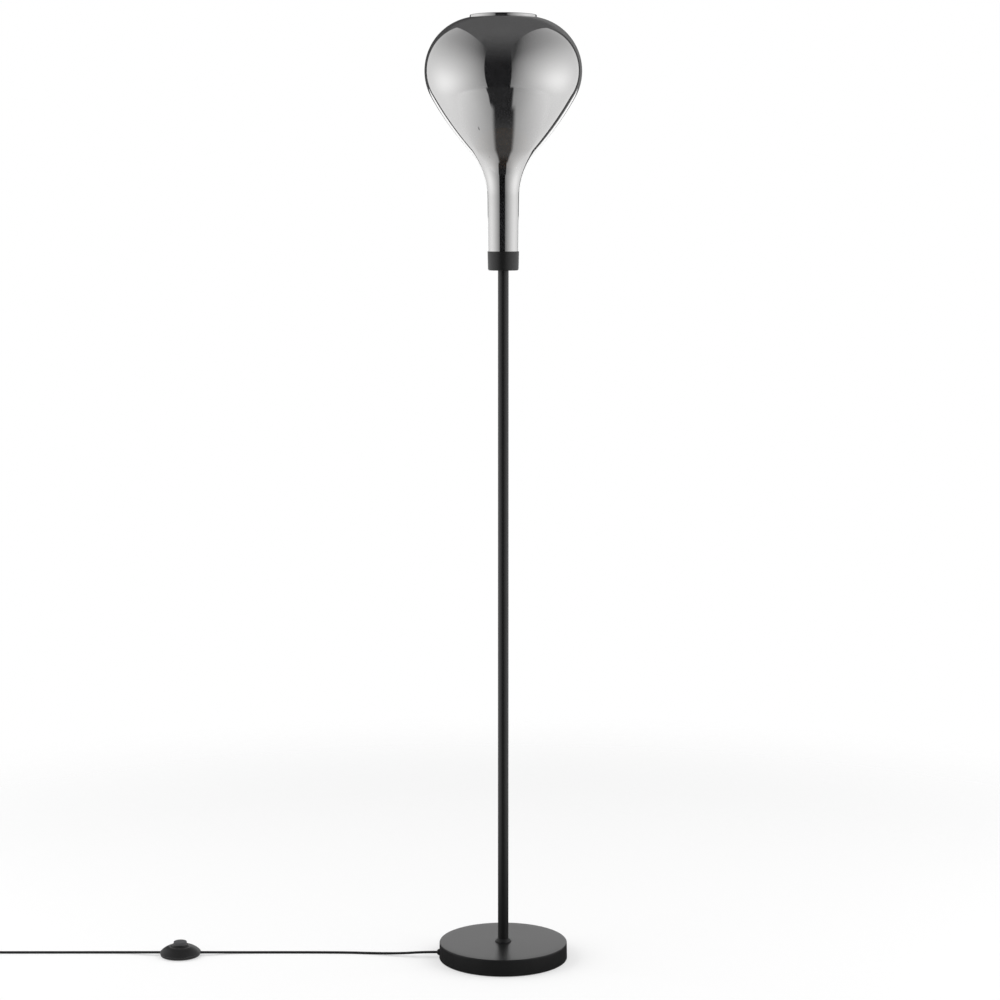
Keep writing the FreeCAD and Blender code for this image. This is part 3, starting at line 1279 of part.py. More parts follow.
def switch_button():
    """Round cap with a crowned top, a skirt and a flange that keeps it in."""
    edge_z = BUTTON_TOP_Z - BUTTON_CROWN
    inner = BUTTON_RADIUS - BUTTON_WALL
    crown_radius = (BUTTON_RADIUS ** 2 + BUTTON_CROWN ** 2) / (2 * BUTTON_CROWN)
    body = turned([(0, BUTTON_ROOF_Z, 0), (inner, BUTTON_ROOF_Z, 0), (inner, BUTTON_FOOT_Z, 0),
                   (FLANGE_RADIUS, BUTTON_FOOT_Z, 0), (FLANGE_RADIUS, FLANGE_TOP_Z, 0),
                   (BUTTON_RADIUS, FLANGE_TOP_Z, 0),
                   (BUTTON_RADIUS, BUTTON_TOP_Z, BUTTON_EDGE_RADIUS + BUTTON_CROWN), (0, BUTTON_TOP_Z, 0)])
    crown = Part.makeSphere(crown_radius, Vec(0, 0, BUTTON_TOP_Z - crown_radius))
    below = Part.makeCylinder(FLANGE_RADIUS + OVERCUT, edge_z)
    return at_switch(body.common(crown.fuse(below)).removeSplitter())


def switch_spring():
    """Coil spring between the rotor and the button's roof: half turns that tilt to one side and the other."""
    low = ROTOR_TOP_Z + SPRING_WIRE_RADIUS + SPRING_END_GAP
    high = BUTTON_ROOF_Z - SPRING_WIRE_RADIUS - SPRING_END_GAP
    rise = (high - low) / (4 * SPRING_TURNS)
    halves = []
    for index in range(2 * SPRING_TURNS):
        side = (1, -1)[index % 2]
        start = Vec(side * SPRING_RADIUS, 0, low + 2 * index * rise)
        section = Part.Face(Part.Wire([Part.makeCircle(SPRING_WIRE_RADIUS, start, BACK)]))
        centre = Vec(0, 0, start.z + rise)
        halves.append(section.revolve(centre, Vec(side * rise, 0, SPRING_RADIUS), 180))
    return at_switch(halves[0].fuse(halves[1:]))


def switch_rotor():
    """Turning contact: a disc on the pivot, with a notch between each pair of lobes."""
    disc = ring(PIVOT_RADIUS + RUN_GAP, ROTOR_RADIUS, ROTOR_LOW_Z, ROTOR_TOP_Z)
    for place in around(ROTOR_LOBES, ROTOR_RADIUS + ROTOR_LOBE_DEPTH, 45):
        disc = disc.cut(Part.makeCylinder(2 * ROTOR_LOBE_DEPTH, ROTOR_THICKNESS, place + UP * ROTOR_LOW_Z))
    return at_switch(disc)


def switch_terminals():
    """Brass block on each side with a leaf that reaches towards the rotor."""
    solids = []
    for side in (-1, 1):
        body = block(TERMINAL_LENGTH, TERMINAL_WIDTH, TERMINAL_HEIGHT, side * TERMINAL_X, 0, SWITCH_FLOOR_Z)
        leaf_length = TERMINAL_X - TERMINAL_LENGTH / 2 - ROTOR_RADIUS - LOOSE_GAP
        leaf_x = side * (ROTOR_RADIUS + LOOSE_GAP + leaf_length / 2)
        leaf_z = ROTOR_LOW_Z + LEAF_ABOVE_ROTOR_FOOT
        leaf = block(leaf_length, TERMINAL_WIDTH, LEAF_THICKNESS, leaf_x, 0, leaf_z)
        solids.append(body.fuse(leaf).removeSplitter())
    return at_switch(group(solids))


def clamp_screw_offsets():
    """Places of the lead clamps' screws, two on each side."""
    reach = SWITCH_CLAMP_WIDTH / 2 - SWITCH_CLAMP_SCREW_INSET
    return [Vec(side * SWITCH_CLAMP_X, across * reach, 0) for side in (-1, 1) for across in (-1, 1)]


def switch_clamps():
    """Bar over the lead on each side."""
    bars = []
    for side in (-1, 1):
        bars.append(block(SWITCH_CLAMP_LENGTH, SWITCH_CLAMP_WIDTH, SWITCH_CLAMP_THICKNESS,
                          side * SWITCH_CLAMP_X, 0, SWITCH_CLAMP_LOW_Z))
    solid = group(bars)
    for place in clamp_screw_offsets():
        solid = solid.cut(Part.makeCylinder(SWITCH_CLAMP_SCREW_RADIUS + SLIDE_GAP, SWITCH_COLLAR_Z, place))
    return at_switch(solid)


def switch_clamp_screws():
    """Small screws through the bars, standing on the tray's floor."""
    low = SWITCH_CLAMP_LOW_Z + SWITCH_CLAMP_THICKNESS
    screws = []
    for place in clamp_screw_offsets():
        shank = Part.makeCylinder(SWITCH_CLAMP_SCREW_RADIUS, low - SWITCH_FLOOR_Z,
                                  place + UP * SWITCH_FLOOR_Z)
        head = Part.makeCylinder(SWITCH_CLAMP_SCREW_RADIUS + SWITCH_CLAMP_SCREW_HEAD_GROW,
                                 SWITCH_CLAMP_SCREW_HEAD_HEIGHT, place + UP * low)
        screws.append(shank.fuse(head))
    return at_switch(group(screws))


def switch_screws():
    """Screws from below that hold the two halves together."""
    screws = []
    for place in switch_screw_places():
        low = SWITCH_LOW_Z + SWITCH_SCREW_SINK - SWITCH_SCREW_HEAD_HEIGHT
        head = Part.makeCylinder(SWITCH_SCREW_RADIUS + SWITCH_SCREW_HEAD_GROW, SWITCH_SCREW_HEAD_HEIGHT,
                                 place + UP * low)
        shank = Part.makeCylinder(SWITCH_SCREW_RADIUS, SWITCH_SCREW_LENGTH, place + UP * low)
        screws.append(head.fuse(shank).removeSplitter())
    return at_switch(group(screws))


def switch_feet():
    """Rubber feet under the tray."""
    feet = []
    for place in around(SWITCH_FEET_COUNT, SWITCH_FEET_CIRCLE, 45):
        feet.append(Part.makeCylinder(SWITCH_FEET_RADIUS, SWITCH_FEET_HEIGHT, place))
    return at_switch(group(feet))


def switch_wires():
    """Bare cores inside the switch: one to each terminal, one that runs past the rotor."""
    core_x = TERMINAL_X + TERMINAL_LENGTH / 2
    lead_end = LEAD_IN_SWITCH_X - CORE_WIRE_GAP
    past = ROTOR_RADIUS + LOOSE_GAP + 2 * CORE_WIRE_RADIUS
    wires = []
    for side in (-1, 1):
        wires.append(rod(CORE_WIRE_RADIUS, Vec(side * lead_end, -CORE_WIRE_OFFSET, LEAD_SWITCH_Z),
                         Vec(side * core_x, -CORE_WIRE_OFFSET, LEAD_SWITCH_Z)))
    half = [Vec(lead_end, CORE_WIRE_OFFSET, LEAD_SWITCH_Z),
            Vec(core_x + CORE_WIRE_RADIUS, CORE_WIRE_OFFSET, LEAD_SWITCH_Z),
            Vec(core_x + CORE_WIRE_RADIUS, TERMINAL_WIDTH / 2 + 2 * CORE_WIRE_RADIUS, LEAD_SWITCH_Z),
            Vec(ROTOR_RADIUS, past, LEAD_SWITCH_Z)]
    mirrored = [Vec(-point.x, point.y, point.z) for point in reversed(half)]
    wires.append(beaded(half + mirrored, CORE_WIRE_RADIUS))
    return at_switch(group(wires))


save("switch_wires", switch_wires())
save("switch_base", switch_base())
save("switch_cover", switch_cover())
save("switch_button", switch_button())
save("switch_spring", switch_spring())
save("switch_rotor", switch_rotor())
save("switch_terminals", switch_terminals())
save("switch_clamps", switch_clamps())
save("switch_clamp_screws", switch_clamp_screws())
save("switch_screws", switch_screws())
save("switch_feet", switch_feet())
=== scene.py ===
"""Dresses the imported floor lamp: smoked mirror glass, black satin metal, foot switch, lead and plug.

Metres, +Z up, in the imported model's frame. The lead leaves the base towards -X. Each operator makes one
piece or a group of like pieces, and the stage operator makes the floor, lights, surroundings and camera.
"""

import math

import bmesh
import bpy
import numpy as np
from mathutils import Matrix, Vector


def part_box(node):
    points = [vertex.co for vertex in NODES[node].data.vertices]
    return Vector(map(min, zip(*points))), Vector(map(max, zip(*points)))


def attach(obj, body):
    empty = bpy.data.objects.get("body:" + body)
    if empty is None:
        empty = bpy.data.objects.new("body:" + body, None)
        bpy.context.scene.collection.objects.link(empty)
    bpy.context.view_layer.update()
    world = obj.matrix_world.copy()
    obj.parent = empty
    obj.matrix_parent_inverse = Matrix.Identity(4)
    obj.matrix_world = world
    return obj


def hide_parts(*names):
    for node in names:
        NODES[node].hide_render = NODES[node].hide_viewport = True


bl_info = {
    "name": "Floor lamp with a drop-shaped glass shade",
    "version": (1, 0, 0),
    "blender": (4, 5, 0),
    "location": "View3D > Sidebar > Lamp",
    "description": "Builds the finished surfaces of a floor lamp around its packed construction model",
    "category": "Add Mesh",
}

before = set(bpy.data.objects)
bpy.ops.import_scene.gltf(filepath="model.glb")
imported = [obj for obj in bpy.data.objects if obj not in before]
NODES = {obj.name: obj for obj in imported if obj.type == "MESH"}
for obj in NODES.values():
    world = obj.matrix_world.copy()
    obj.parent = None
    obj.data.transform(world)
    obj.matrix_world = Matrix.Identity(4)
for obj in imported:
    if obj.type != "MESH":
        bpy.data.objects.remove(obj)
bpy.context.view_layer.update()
MM = 0.001


def span(node):
    """Lowest and highest corner of a node as two arrays."""
    low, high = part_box(node)
    return np.array(low), np.array(high)


def radius_of(node):
    """Half the width of a round node along Y."""
    low, high = span(node)
    return float(high[1] - low[1]) / 2


# ---------------------------------------------------------------- settings
def length(label, about, default):
    """A length in metres with a name and a description."""
    return bpy.props.FloatProperty(name=label, description=about, default=default, unit="LENGTH",
                                   precision=5)


def colour(label, about, default):
    """A linear colour with a name and a description."""
    return bpy.props.FloatVectorProperty(name=label, description=about, default=default, subtype="COLOR",
                                         size=3, min=0, max=1)


def angle_in_degrees(label, about, degrees):
    """An angle with a name and a description, given in degrees."""
    return bpy.props.FloatProperty(name=label, description=about, default=math.radians(degrees),
                                   subtype="ANGLE")


def number(label, about, default, subtype="NONE"):
    """A plain positive number with a name and a description."""
    return bpy.props.FloatProperty(name=label, description=about, default=default, min=0, subtype=subtype)


def share(label, about, default):
    """A number from 0 to 1 with a name and a description."""
    return bpy.props.FloatProperty(name=label, description=about, default=default, min=0, max=1,
                                   subtype="FACTOR")


class ShadeSettings(bpy.types.PropertyGroup):
    """Sizes and colours of the glass shade."""
    rim_top: length("Rim top", "Height of the shade's rim", float(span("shade_glass")[1][2]))
    rim_radius: length("Rim radius", "Outer radius of the upright rim", 0.05075)
    wall: length("Wall", "Thickness of the glass", 0.002)
    widest: length("Widest radius", "Outer radius where the shade is widest", radius_of("shade_glass"))
    widest_height: length("Widest height", "Height at which the shade is widest", 1.3764)
    dome_arc: length("Dome arc", "Radius of the arc above the widest place", 0.0810)
    belly_arc: length("Belly arc", "Radius of the arc below the widest place", 0.081)
    flare_arc: length("Flare arc", "Radius of the arc that runs into the neck", 0.103)
    belly_turn: angle_in_degrees("Belly turn", "How far the wall has turned in where the belly ends", 29.7)
    flank_turn: angle_in_degrees("Flank turn", "How far the wall has turned in where the flank ends", 42.1)
    neck_top: length("Neck radius", "Outer radius at the top of the neck", 0.0239)
    neck_foot: length("Foot radius", "Outer radius at the neck's lower end", 0.0229)
    neck_low: length("Foot height", "Height of the neck's lower end", float(span("shade_glass")[0][2]))
    coat: colour("Coat", "Colour of the mirror coat", (0.86, 0.855, 0.85))
    coat_share: share("Coat share", "How much light the coat turns back", 0.85)
    smoke: colour("Smoke", "Colour of the glass body", (0.86, 0.83, 0.80))


class MetalSettings(bpy.types.PropertyGroup):
    """Sizes and colours of the base, the pole and the cup."""
    edge: length("Edge radius", "Rolled edge of the base cover", 0.0015)
    draft: length("Draft", "How much narrower the base cover is at its top", 0.0005)
    cover_wall: length("Cover wall", "Thickness of the base cover", 0.0015)
    cover_bore: length("Cover bore", "Radius of the hole for the threaded nipple", 0.0052)
    pole_wall: length("Pole wall", "Thickness of the pole's tube", 0.0012)
    cup_bore: length("Cup bore", "Radius of the hole for the riser", 0.00505)
    cup_taper: length("Cup taper", "How much narrower the cup is at its foot", 0.0007)
    cup_wall: length("Cup wall", "Thickness of the cup's side", 0.00075)
    cup_floor: length("Cup floor", "Thickness of the cup's floor", 0.0015)
    cup_edge: length("Cup edge", "Radius of the cup's lower edge", 0.0025)
    paint: colour("Paint", "Black powder coat", (0.010, 0.010, 0.0103))
    gloss: share("Roughness", "Roughness of the powder coat", 0.34)


class BulbSettings(bpy.types.PropertyGroup):
    """Sizes and colours of the bulb."""
    radius: length("Radius", "Radius of the bulb's globe", 0.030)
    neck: length("Neck radius", "Radius of the bulb's neck", 0.0145)
    shoulder: length("Shoulder arc", "Radius of the arc between globe and neck", 0.042)
    wall: length("Wall", "Thickness of the bulb's glass", 0.0008)
    foot: length("Foot radius", "Radius of the glass inside the cap", 0.01275)
    foot_height: length("Foot height", "Height of the straight end inside the cap", 0.002)
    thread_depth: length("Thread depth", "Depth of the cap's rolled thread", 0.0007)
    thread_pitch: length("Thread pitch", "Rise of the cap's thread in one turn", 0.0036)
    cap_wall: length("Cap wall", "Thickness of the cap at its crests", 0.0012)
    amber: colour("Glass", "Tint of the bulb's glass", (0.90, 0.62, 0.30))
    filament: colour("Filament", "Colour of the coated filaments", (0.80, 0.50, 0.10))


class SwitchSettings(bpy.types.PropertyGroup):
    """Sizes and colours of the foot switch."""
    radius: length("Radius", "Radius of the switch's cover", radius_of("switch_cover"))
    wall: length("Wall", "Thickness of the cover", 0.002)
    split: length("Split", "Height of the joint between the two halves", 0.0054)
    tray_floor: length("Tray floor", "Height of the lower half's inner face", 0.0029)
    flare_radius: length("Flare radius", "Radius at which the dome turns up to the collar", 0.017)
    flare_height: length("Flare height", "Height at which the dome turns up to the collar", 0.0156)
    bore: length("Bore", "Radius of the well below the collar", 0.01185)
    roof: length("Roof", "Height of the cover's inner face at the well", 0.0122)
    collar_wall: length("Collar wall", "How far the collar stands outside the button", 0.00145)
    collar_gap: length("Collar gap", "Gap between the button and the collar", 0.00005)
    lip: length("Lip", "Rounding of the collar's rim", 0.0003)
    dome_bulge: length("Dome bulge", "How far the dome stands off a straight cone", 0.0013)
    flare_dip: length("Flare dip", "How far the flare under the button dips in", 0.0010)
    button_radius: length("Button radius", "Radius of the button", 0.01025)
    crown: length("Button crown", "Height of the crown on the button's top", 0.0009)
    button_wall: length("Button wall", "Thickness of the button's side", 0.0018)
    button_roof: length("Button roof", "Thickness of the button's top", 0.0027)
    flange: length("Flange", "How far the button's foot stands out", 0.0013)
    flange_height: length("Flange height", "Height of the button's foot", 0.0015)
    plastic: colour("Plastic", "Black switch housing", (0.016, 0.016, 0.0165))
    # Partly the button's own dark grey, partly painted light: the grey is raised so that the button's top
    # reads as lit.
    button: colour("Button", "Dark grey button", (0.050, 0.050, 0.051))


class LeadSettings(bpy.types.PropertyGroup):
    """Sizes and colours of the lead and the plug."""
    width: length("Width", "Width of the flat lead", 0.0054)
    thickness: length("Thickness", "Thickness of the flat lead", 0.0034)
    plug_corner: length("Plug corner", "Rounding of the plug's corners", 0.003)
    plug_shoulder: length("Plug shoulder", "Length over which the plug draws in to the lead", 0.013)
    plug_neck: length("Plug neck", "Half the plug's width where the lead enters", 0.008)
    plug_rim: length("Plug rim", "Rounding of the plug's upper and lower rims", 0.002)
    jacket: colour("Jacket", "Black jacket of the lead", (0.012, 0.012, 0.0125))
    plug: colour("Plug", "Black plug", (0.014, 0.014, 0.0145))


class StageSettings(bpy.types.PropertyGroup):
    """Camera and light."""
    camera_distance: length("Camera distance", "Distance of the camera in front of the pole", 3.6532)
    camera_height: length("Camera height", "Height of the camera", 1.1534)
    camera_side: length("Camera offset", "Sideways place of the camera", -0.005)
    focal: bpy.props.FloatProperty(name="Focal length", description="Focal length on a 36 mm sensor",
                                   default=85.94, subtype="DISTANCE_CAMERA")
    pitch: angle_in_degrees("Pitch", "How far the camera looks down", 5.524)
    shift: number("Shift", "How far the picture is shifted down, as a share of its width", 0.05)
    floor_radius: length("Floor radius", "Radius of the floor that shows shadows", 1.9)
    sky: number("Sky", "Strength of the even light from all round", 0.62)
    lift: share("Lift", "How far the camera sees the floor and its shadows lifted to white", 0.45)
    card: number("Card", "Brightness of the white card behind the lamp", 1.15)
    opening: number("Opening", "Brightness of the reflected opening towards the viewer", 0.003)
    ceiling: number("Ceiling", "Brightness of the reflected ceiling", 0.098)
    edge: number("Edge", "Brightness of the reflected edge behind each side panel", 0.06)
    runner: number("Runner", "Brightness of the reflected runner on the floor", 0.012)
    softbox: number("Softboxes", "Power of each side light", 31.0, "POWER")


# ---------------------------------------------------------------- curves and surfaces
def arc(centre, radius, start, end, count=24):
    """Points centre + radius (cos t, sin t) for t from start to end, in radians."""
    t = np.linspace(start, end, count)
    return np.stack([centre[0] + radius * np.cos(t), centre[1] + radius * np.sin(t)], 1)


def bulged(start, end, bulge, count=24):
    """Points on the circle through start and end whose middle stands off the chord by the bulge."""
    start, end = np.array(start, float), np.array(end, float)
    chord = end - start
    size = np.hypot(*chord)
    outward = np.array([chord[1], -chord[0]]) / size
    radius = (size * size / 4 + bulge * bulge) / (2 * abs(bulge))
    half = math.asin(size / 2 / radius)
    t = np.linspace(-half, half, count)[:, None]
    along = chord / size
    side = outward * math.copysign(1, bulge)
    middle = (start + end) / 2 - side * (radius * math.cos(half))
    return middle + along * radius * np.sin(t) + side * radius * np.cos(t)


def rounded(corners, count=7):
    """Closed outline through (x, y, fillet) corners, each fillet an arc tangent to both of its sides."""
    points = np.array([corner[:2] for corner in corners], float)
    outline = []
    for index, here in enumerate(points):
        fillet = corners[index][2]
        if fillet == 0:
            outline.append(here[None])
            continue
        back = points[index - 1] - here
        onward = points[(index + 1) % len(points)] - here
        back = back / np.hypot(*back)
        onward = onward / np.hypot(*onward)
        half = math.acos(float(np.clip(back @ onward, -1, 1))) / 2
        bisector = (back + onward) / np.hypot(*(back + onward))
        centre = here + bisector * fillet / math.sin(half)
        start = here + back * fillet / math.tan(half) - centre
        end = here + onward * fillet / math.tan(half) - centre
        first = math.atan2(start[1], start[0])
        turn = math.remainder(math.atan2(end[1], end[0]) - first, 2 * math.pi)
        outline.append(arc(centre, fillet, first, first + turn, count))
    return np.concatenate(outline)


def add_mesh(name, points, faces, smooth_below=30, indices=None, merge=True):
    """Mesh object at the origin from points and faces, with its faces turned outwards."""
    mesh = bpy.data.meshes.new(name)
    if isinstance(faces, np.ndarray):
        faces = faces.tolist()
    mesh.from_pydata(np.asarray(points, float).tolist(), [], faces)
    if indices is not None:
        mesh.polygons.foreach_set("material_index", np.asarray(indices, np.int32))
    work = bmesh.new()
    work.from_mesh(mesh)
    if merge:
        bmesh.ops.remove_doubles(work, verts=work.verts, dist=1e-7)
    bmesh.ops.recalc_face_normals(work, faces=work.faces)
    work.to_mesh(mesh)
    work.free()
    mesh.polygons.foreach_set("use_smooth", np.ones(len(mesh.polygons), bool))
    mesh.set_sharp_from_angle(angle=math.radians(smooth_below))
    mesh.update()
    piece = bpy.data.objects.new(name, mesh)
    bpy.context.scene.collection.objects.link(piece)
    return piece


def grid_faces(rows, columns, close_rows, close_columns):
    """Quads of a grid of points whose rows and columns may close on themselves."""
    row = np.arange(rows if close_rows else rows - 1)
    column = np.arange(columns if close_columns else columns - 1)
    r, c = np.meshgrid(row, column, indexing="ij")
    r2, c2 = (r + 1) % rows, (c + 1) % columns
    corners = [r * columns + c, r * columns + c2, r2 * columns + c2, r2 * columns + c]
    return np.stack(corners, -1).reshape(-1, 4)


def turned(name, outline, centre=(0.0, 0.0), segments=160, closed=True, row_index=None):
    """Surface of revolution: x = r cos a + cx, y = r sin a + cy, z = z, for every outline point (r, z)."""
    angle = np.linspace(0, 2 * math.pi, segments, endpoint=False)
    r, z = outline[:, 0][:, None], outline[:, 1][:, None]
    grid = np.stack([centre[0] + r * np.cos(angle), centre[1] + r * np.sin(angle), z + 0 * angle], -1)
    faces = grid_faces(len(outline), segments, closed, True)
    indices = None if row_index is None else np.repeat(row_index[:len(faces) // segments], segments)
    return add_mesh(name, grid.reshape(-1, 3), faces, indices=indices)


def extruded(outline, low, high, inset, rows=6):
    """Points and faces of a closed plate whose outline shrinks by inset (1 - sin t) towards both faces."""
    t = np.linspace(0, math.pi / 2, rows)
    centre = outline.mean(0)
    edge = np.roll(outline, -1, 0) - np.roll(outline, 1, 0)
    normal = np.stack([edge[:, 1], -edge[:, 0]], 1) / np.hypot(edge[:, 0], edge[:, 1])[:, None]
    shrink = np.concatenate([inset * (1 - np.sin(t)), inset * (1 - np.sin(t[::-1]))])
    height = np.concatenate([low + inset * (1 - np.cos(t)), high - inset * (1 - np.cos(t[::-1]))])
    layers = outline[None] - normal[None] * shrink[:, None, None]
    points = np.concatenate([layers, np.broadcast_to(height[:, None, None], layers.shape[:2] + (1,))], -1)
    count = len(outline)
    faces = grid_faces(len(height), count, False, True).tolist()
    points = points.reshape(-1, 3)
    middles = np.array([[centre[0], centre[1], low], [centre[0], centre[1], high]])
    total = len(points)
    around = np.arange(count)
    beside = (around + 1) % count
    last = (len(height) - 1) * count
    faces += np.stack([beside, around, np.full(count, total)], 1).tolist()
    faces += np.stack([last + around, last + beside, np.full(count, total + 1)], 1).tolist()
    return np.concatenate([points, middles]), faces


def frames_along(path):
    """Level sideways directions z x t along a path with unit tangents t, and the directions t x side."""
    tangent = np.gradient(path, axis=0)
    tangent /= np.linalg.norm(tangent, axis=1)[:, None]
    side = np.cross(np.array([0.0, 0.0, 1.0]), tangent)
    side /= np.linalg.norm(side, axis=1)[:, None]
    return side, np.cross(tangent, side)


def flat_tube(name, path, tilt, width, thickness):
    """Flat waisted lead along a path, capped at both ends, its wide axis side cos(tilt) + up sin(tilt)."""
    core, half = (width - thickness) / 2, thickness / 2
    t = np.linspace(-math.pi / 2, math.pi / 2, 9)
    right = np.stack([core + half * np.cos(t), half * np.sin(t)], 1)
    waist = np.array([[core * 0.45, half * 0.985], [0.0, half * 0.955], [-core * 0.45, half * 0.985]])
    section = np.concatenate([right, waist, -right, -waist])
    side, up = frames_along(path)
    wide = side * np.cos(tilt)[:, None] + up * np.sin(tilt)[:, None]
    thin = up * np.cos(tilt)[:, None] - side * np.sin(tilt)[:, None]
    grid = path[:, None] + wide[:, None] * section[None, :, :1] + thin[:, None] * section[None, :, 1:]
    count = len(section)
    faces = grid_faces(len(path), count, False, True).tolist()
    faces.append(np.arange(count).tolist())
    faces.append(((len(path) - 1) * count + np.arange(count)[::-1]).tolist())
    return add_mesh(name, grid.reshape(-1, 3), faces, smooth_below=40, merge=False)


def nurbs_line(name, points):
    """Points of a smooth NURBS line with the route's points as its control points, read without a bevel."""
    curve = bpy.data.curves.new(name, "CURVE")
    curve.dimensions = "3D"
    spline = curve.splines.new("NURBS")
    spline.points.add(len(points) - 1)
    flat = np.concatenate([np.asarray(points, float), np.ones((len(points), 1))], 1)
    spline.points.foreach_set("co", flat.ravel())
    spline.order_u = 3
    spline.use_endpoint_u = True
    curve.resolution_u = 8
    holder = bpy.data.objects.new(name, curve)
    bpy.context.scene.collection.objects.link(holder)
    bpy.context.view_layer.update()
    mesh = bpy.data.meshes.new_from_object(holder)
    line = np.zeros(len(mesh.vertices) * 3)
    mesh.vertices.foreach_get("co", line)
    bpy.data.meshes.remove(mesh)
    bpy.data.objects.remove(holder)
    bpy.data.curves.remove(curve)
    return line.reshape(-1, 3)


# ---------------------------------------------------------------- materials
class Value:
    """Number in a node tree; plain arithmetic with it adds math nodes to the tree."""

    def __init__(self, tree, socket):
        self.tree = tree
        self.socket = socket

    def math(self, operation, *values):
        """Result of a math node in this tree, fed with values or plain numbers."""
        node = self.tree.nodes.new("ShaderNodeMath")
        node.operation = operation
        for entry, value in zip(node.inputs, values):
            if isinstance(value, Value):
                self.tree.links.new(value.socket, entry)
            else:
                entry.default_value = value
        return Value(self.tree, node.outputs[0])

    def __add__(self, other):
        return self.math("ADD", self, other)

    def __sub__(self, other):
        return self.math("SUBTRACT", self, other)

    def __rsub__(self, other):
        return self.math("SUBTRACT", other, self)

    def __mul__(self, other):
        return self.math("MULTIPLY", self, other)

    def __truediv__(self, other):
        return self.math("DIVIDE", self, other)

    def __rtruediv__(self, other):
        return self.math("DIVIDE", other, self)

    def __abs__(self):
        return self.math("ABSOLUTE", self)

    def root(self):
        """Square root."""
        return self.math("SQRT", self)

    def at_least(self, other):
        """The larger of this value and another."""
        return self.math("MAXIMUM", self, other)

    def ramp(self, low, high):
        """0 below low, 1 above high, smooth between."""
        node = self.tree.nodes.new("ShaderNodeMapRange")
        node.interpolation_type = "SMOOTHSTEP"
        self.tree.links.new(self.socket, node.inputs["Value"])
        node.inputs["From Min"].default_value = low
        node.inputs["From Max"].default_value = high
        return Value(self.tree, node.outputs["Result"])

    def within(self, low, high, blur):
        """1 between low and high, 0 outside, with blurred ends."""
        return self.ramp(low - blur, low + blur) * (1 - self.ramp(high - blur, high + blur))

    def mixed(self, other, share_of_other):
        """self (1 - share) + other share."""
        return self * (1 - share_of_other) + other * share_of_other


def coordinates(tree, kind):
    """x, y and z of the named kind of texture coordinates."""
    where = tree.nodes.new("ShaderNodeTexCoord")
    split = tree.nodes.new("ShaderNodeSeparateXYZ")
    tree.links.new(where.outputs[kind], split.inputs[0])
    return [Value(tree, socket) for socket in split.outputs]


def ray_kinds(tree, *kinds):
    """Values that are 1 for the named kinds of ray and 0 for others."""
    rays = tree.nodes.new("ShaderNodeLightPath")
    return [Value(tree, rays.outputs[f"Is {kind} Ray"]) for kind in kinds]


def noise(tree, scale, detail):
    """Noise over the object's own coordinates."""
    where = tree.nodes.new("ShaderNodeTexCoord")
    node = tree.nodes.new("ShaderNodeTexNoise")
    node.inputs["Detail"].default_value = detail
    tree.links.new(where.outputs["Object"], node.inputs["Vector"])
    tree.links.new(scale, node.inputs["Scale"])
    return Value(tree, node.outputs["Fac"])


def new_group(name, inputs, outputs):
    """Node group and its inner ends; a socket called Color carries a colour, any other a number."""
    group = bpy.data.node_groups.new(name, "ShaderNodeTree")
    for direction, labels in (("INPUT", inputs), ("OUTPUT", outputs)):
        for label in labels:
            kind = "NodeSocketColor" if label == "Color" else "NodeSocketFloat"
            group.interface.new_socket(name=label, in_out=direction, socket_type=kind)
    return group, group.nodes.new("NodeGroupInput").outputs, group.nodes.new("NodeGroupOutput").inputs


def surface_texture():
    """Group: fine noise with a coarser mottle, as a roughness and as a height."""
    found = bpy.data.node_groups.get("surface_texture")
    if found:
        return found
    group, take, give = new_group("surface_texture", ("Scale", "Roughness", "Spread", "Mottle"),
                                  ("Roughness", "Height"))
    fine, mottle = noise(group, take["Scale"], 3.0), noise(group, take["Mottle"], 4.0)
    uneven = (fine + mottle - 1) * Value(group, take["Spread"]) + Value(group, take["Roughness"])
    group.links.new(uneven.socket, give["Roughness"])
    group.links.new(fine.socket, give["Height"])
    return group


def tint_variation():
    """Group: a colour that drifts slightly in value over the surface."""
    found = bpy.data.node_groups.get("tint_variation")
    if found:
        return found
    group, take, give = new_group("tint_variation", ("Color", "Scale", "Amount"), ("Color",))
    drift = (noise(group, take["Scale"], 5.0) - 0.5) * Value(group, take["Amount"]) + 1
    tint = group.nodes.new("ShaderNodeHueSaturation")
    group.links.new(take["Color"], tint.inputs["Color"])
    group.links.new(drift.socket, tint.inputs["Value"])
    group.links.new(tint.outputs["Color"], give["Color"])
    return group


def group_node(tree, group, **values):
    """Outputs of a group's node whose named inputs have plain values."""
    node = tree.nodes.new("ShaderNodeGroup")
    node.node_tree = group
    for label, value in values.items():
        node.inputs[label].default_value = value
    return node.outputs


def blank_material(name):
    """New material, its node tree with only the output left, and the output's surface socket."""
    material = bpy.data.materials.new(name)
    material.use_nodes = True
    tree = material.node_tree
    tree.nodes.clear()
    return material, tree, tree.nodes.new("ShaderNodeOutputMaterial").inputs["Surface"]


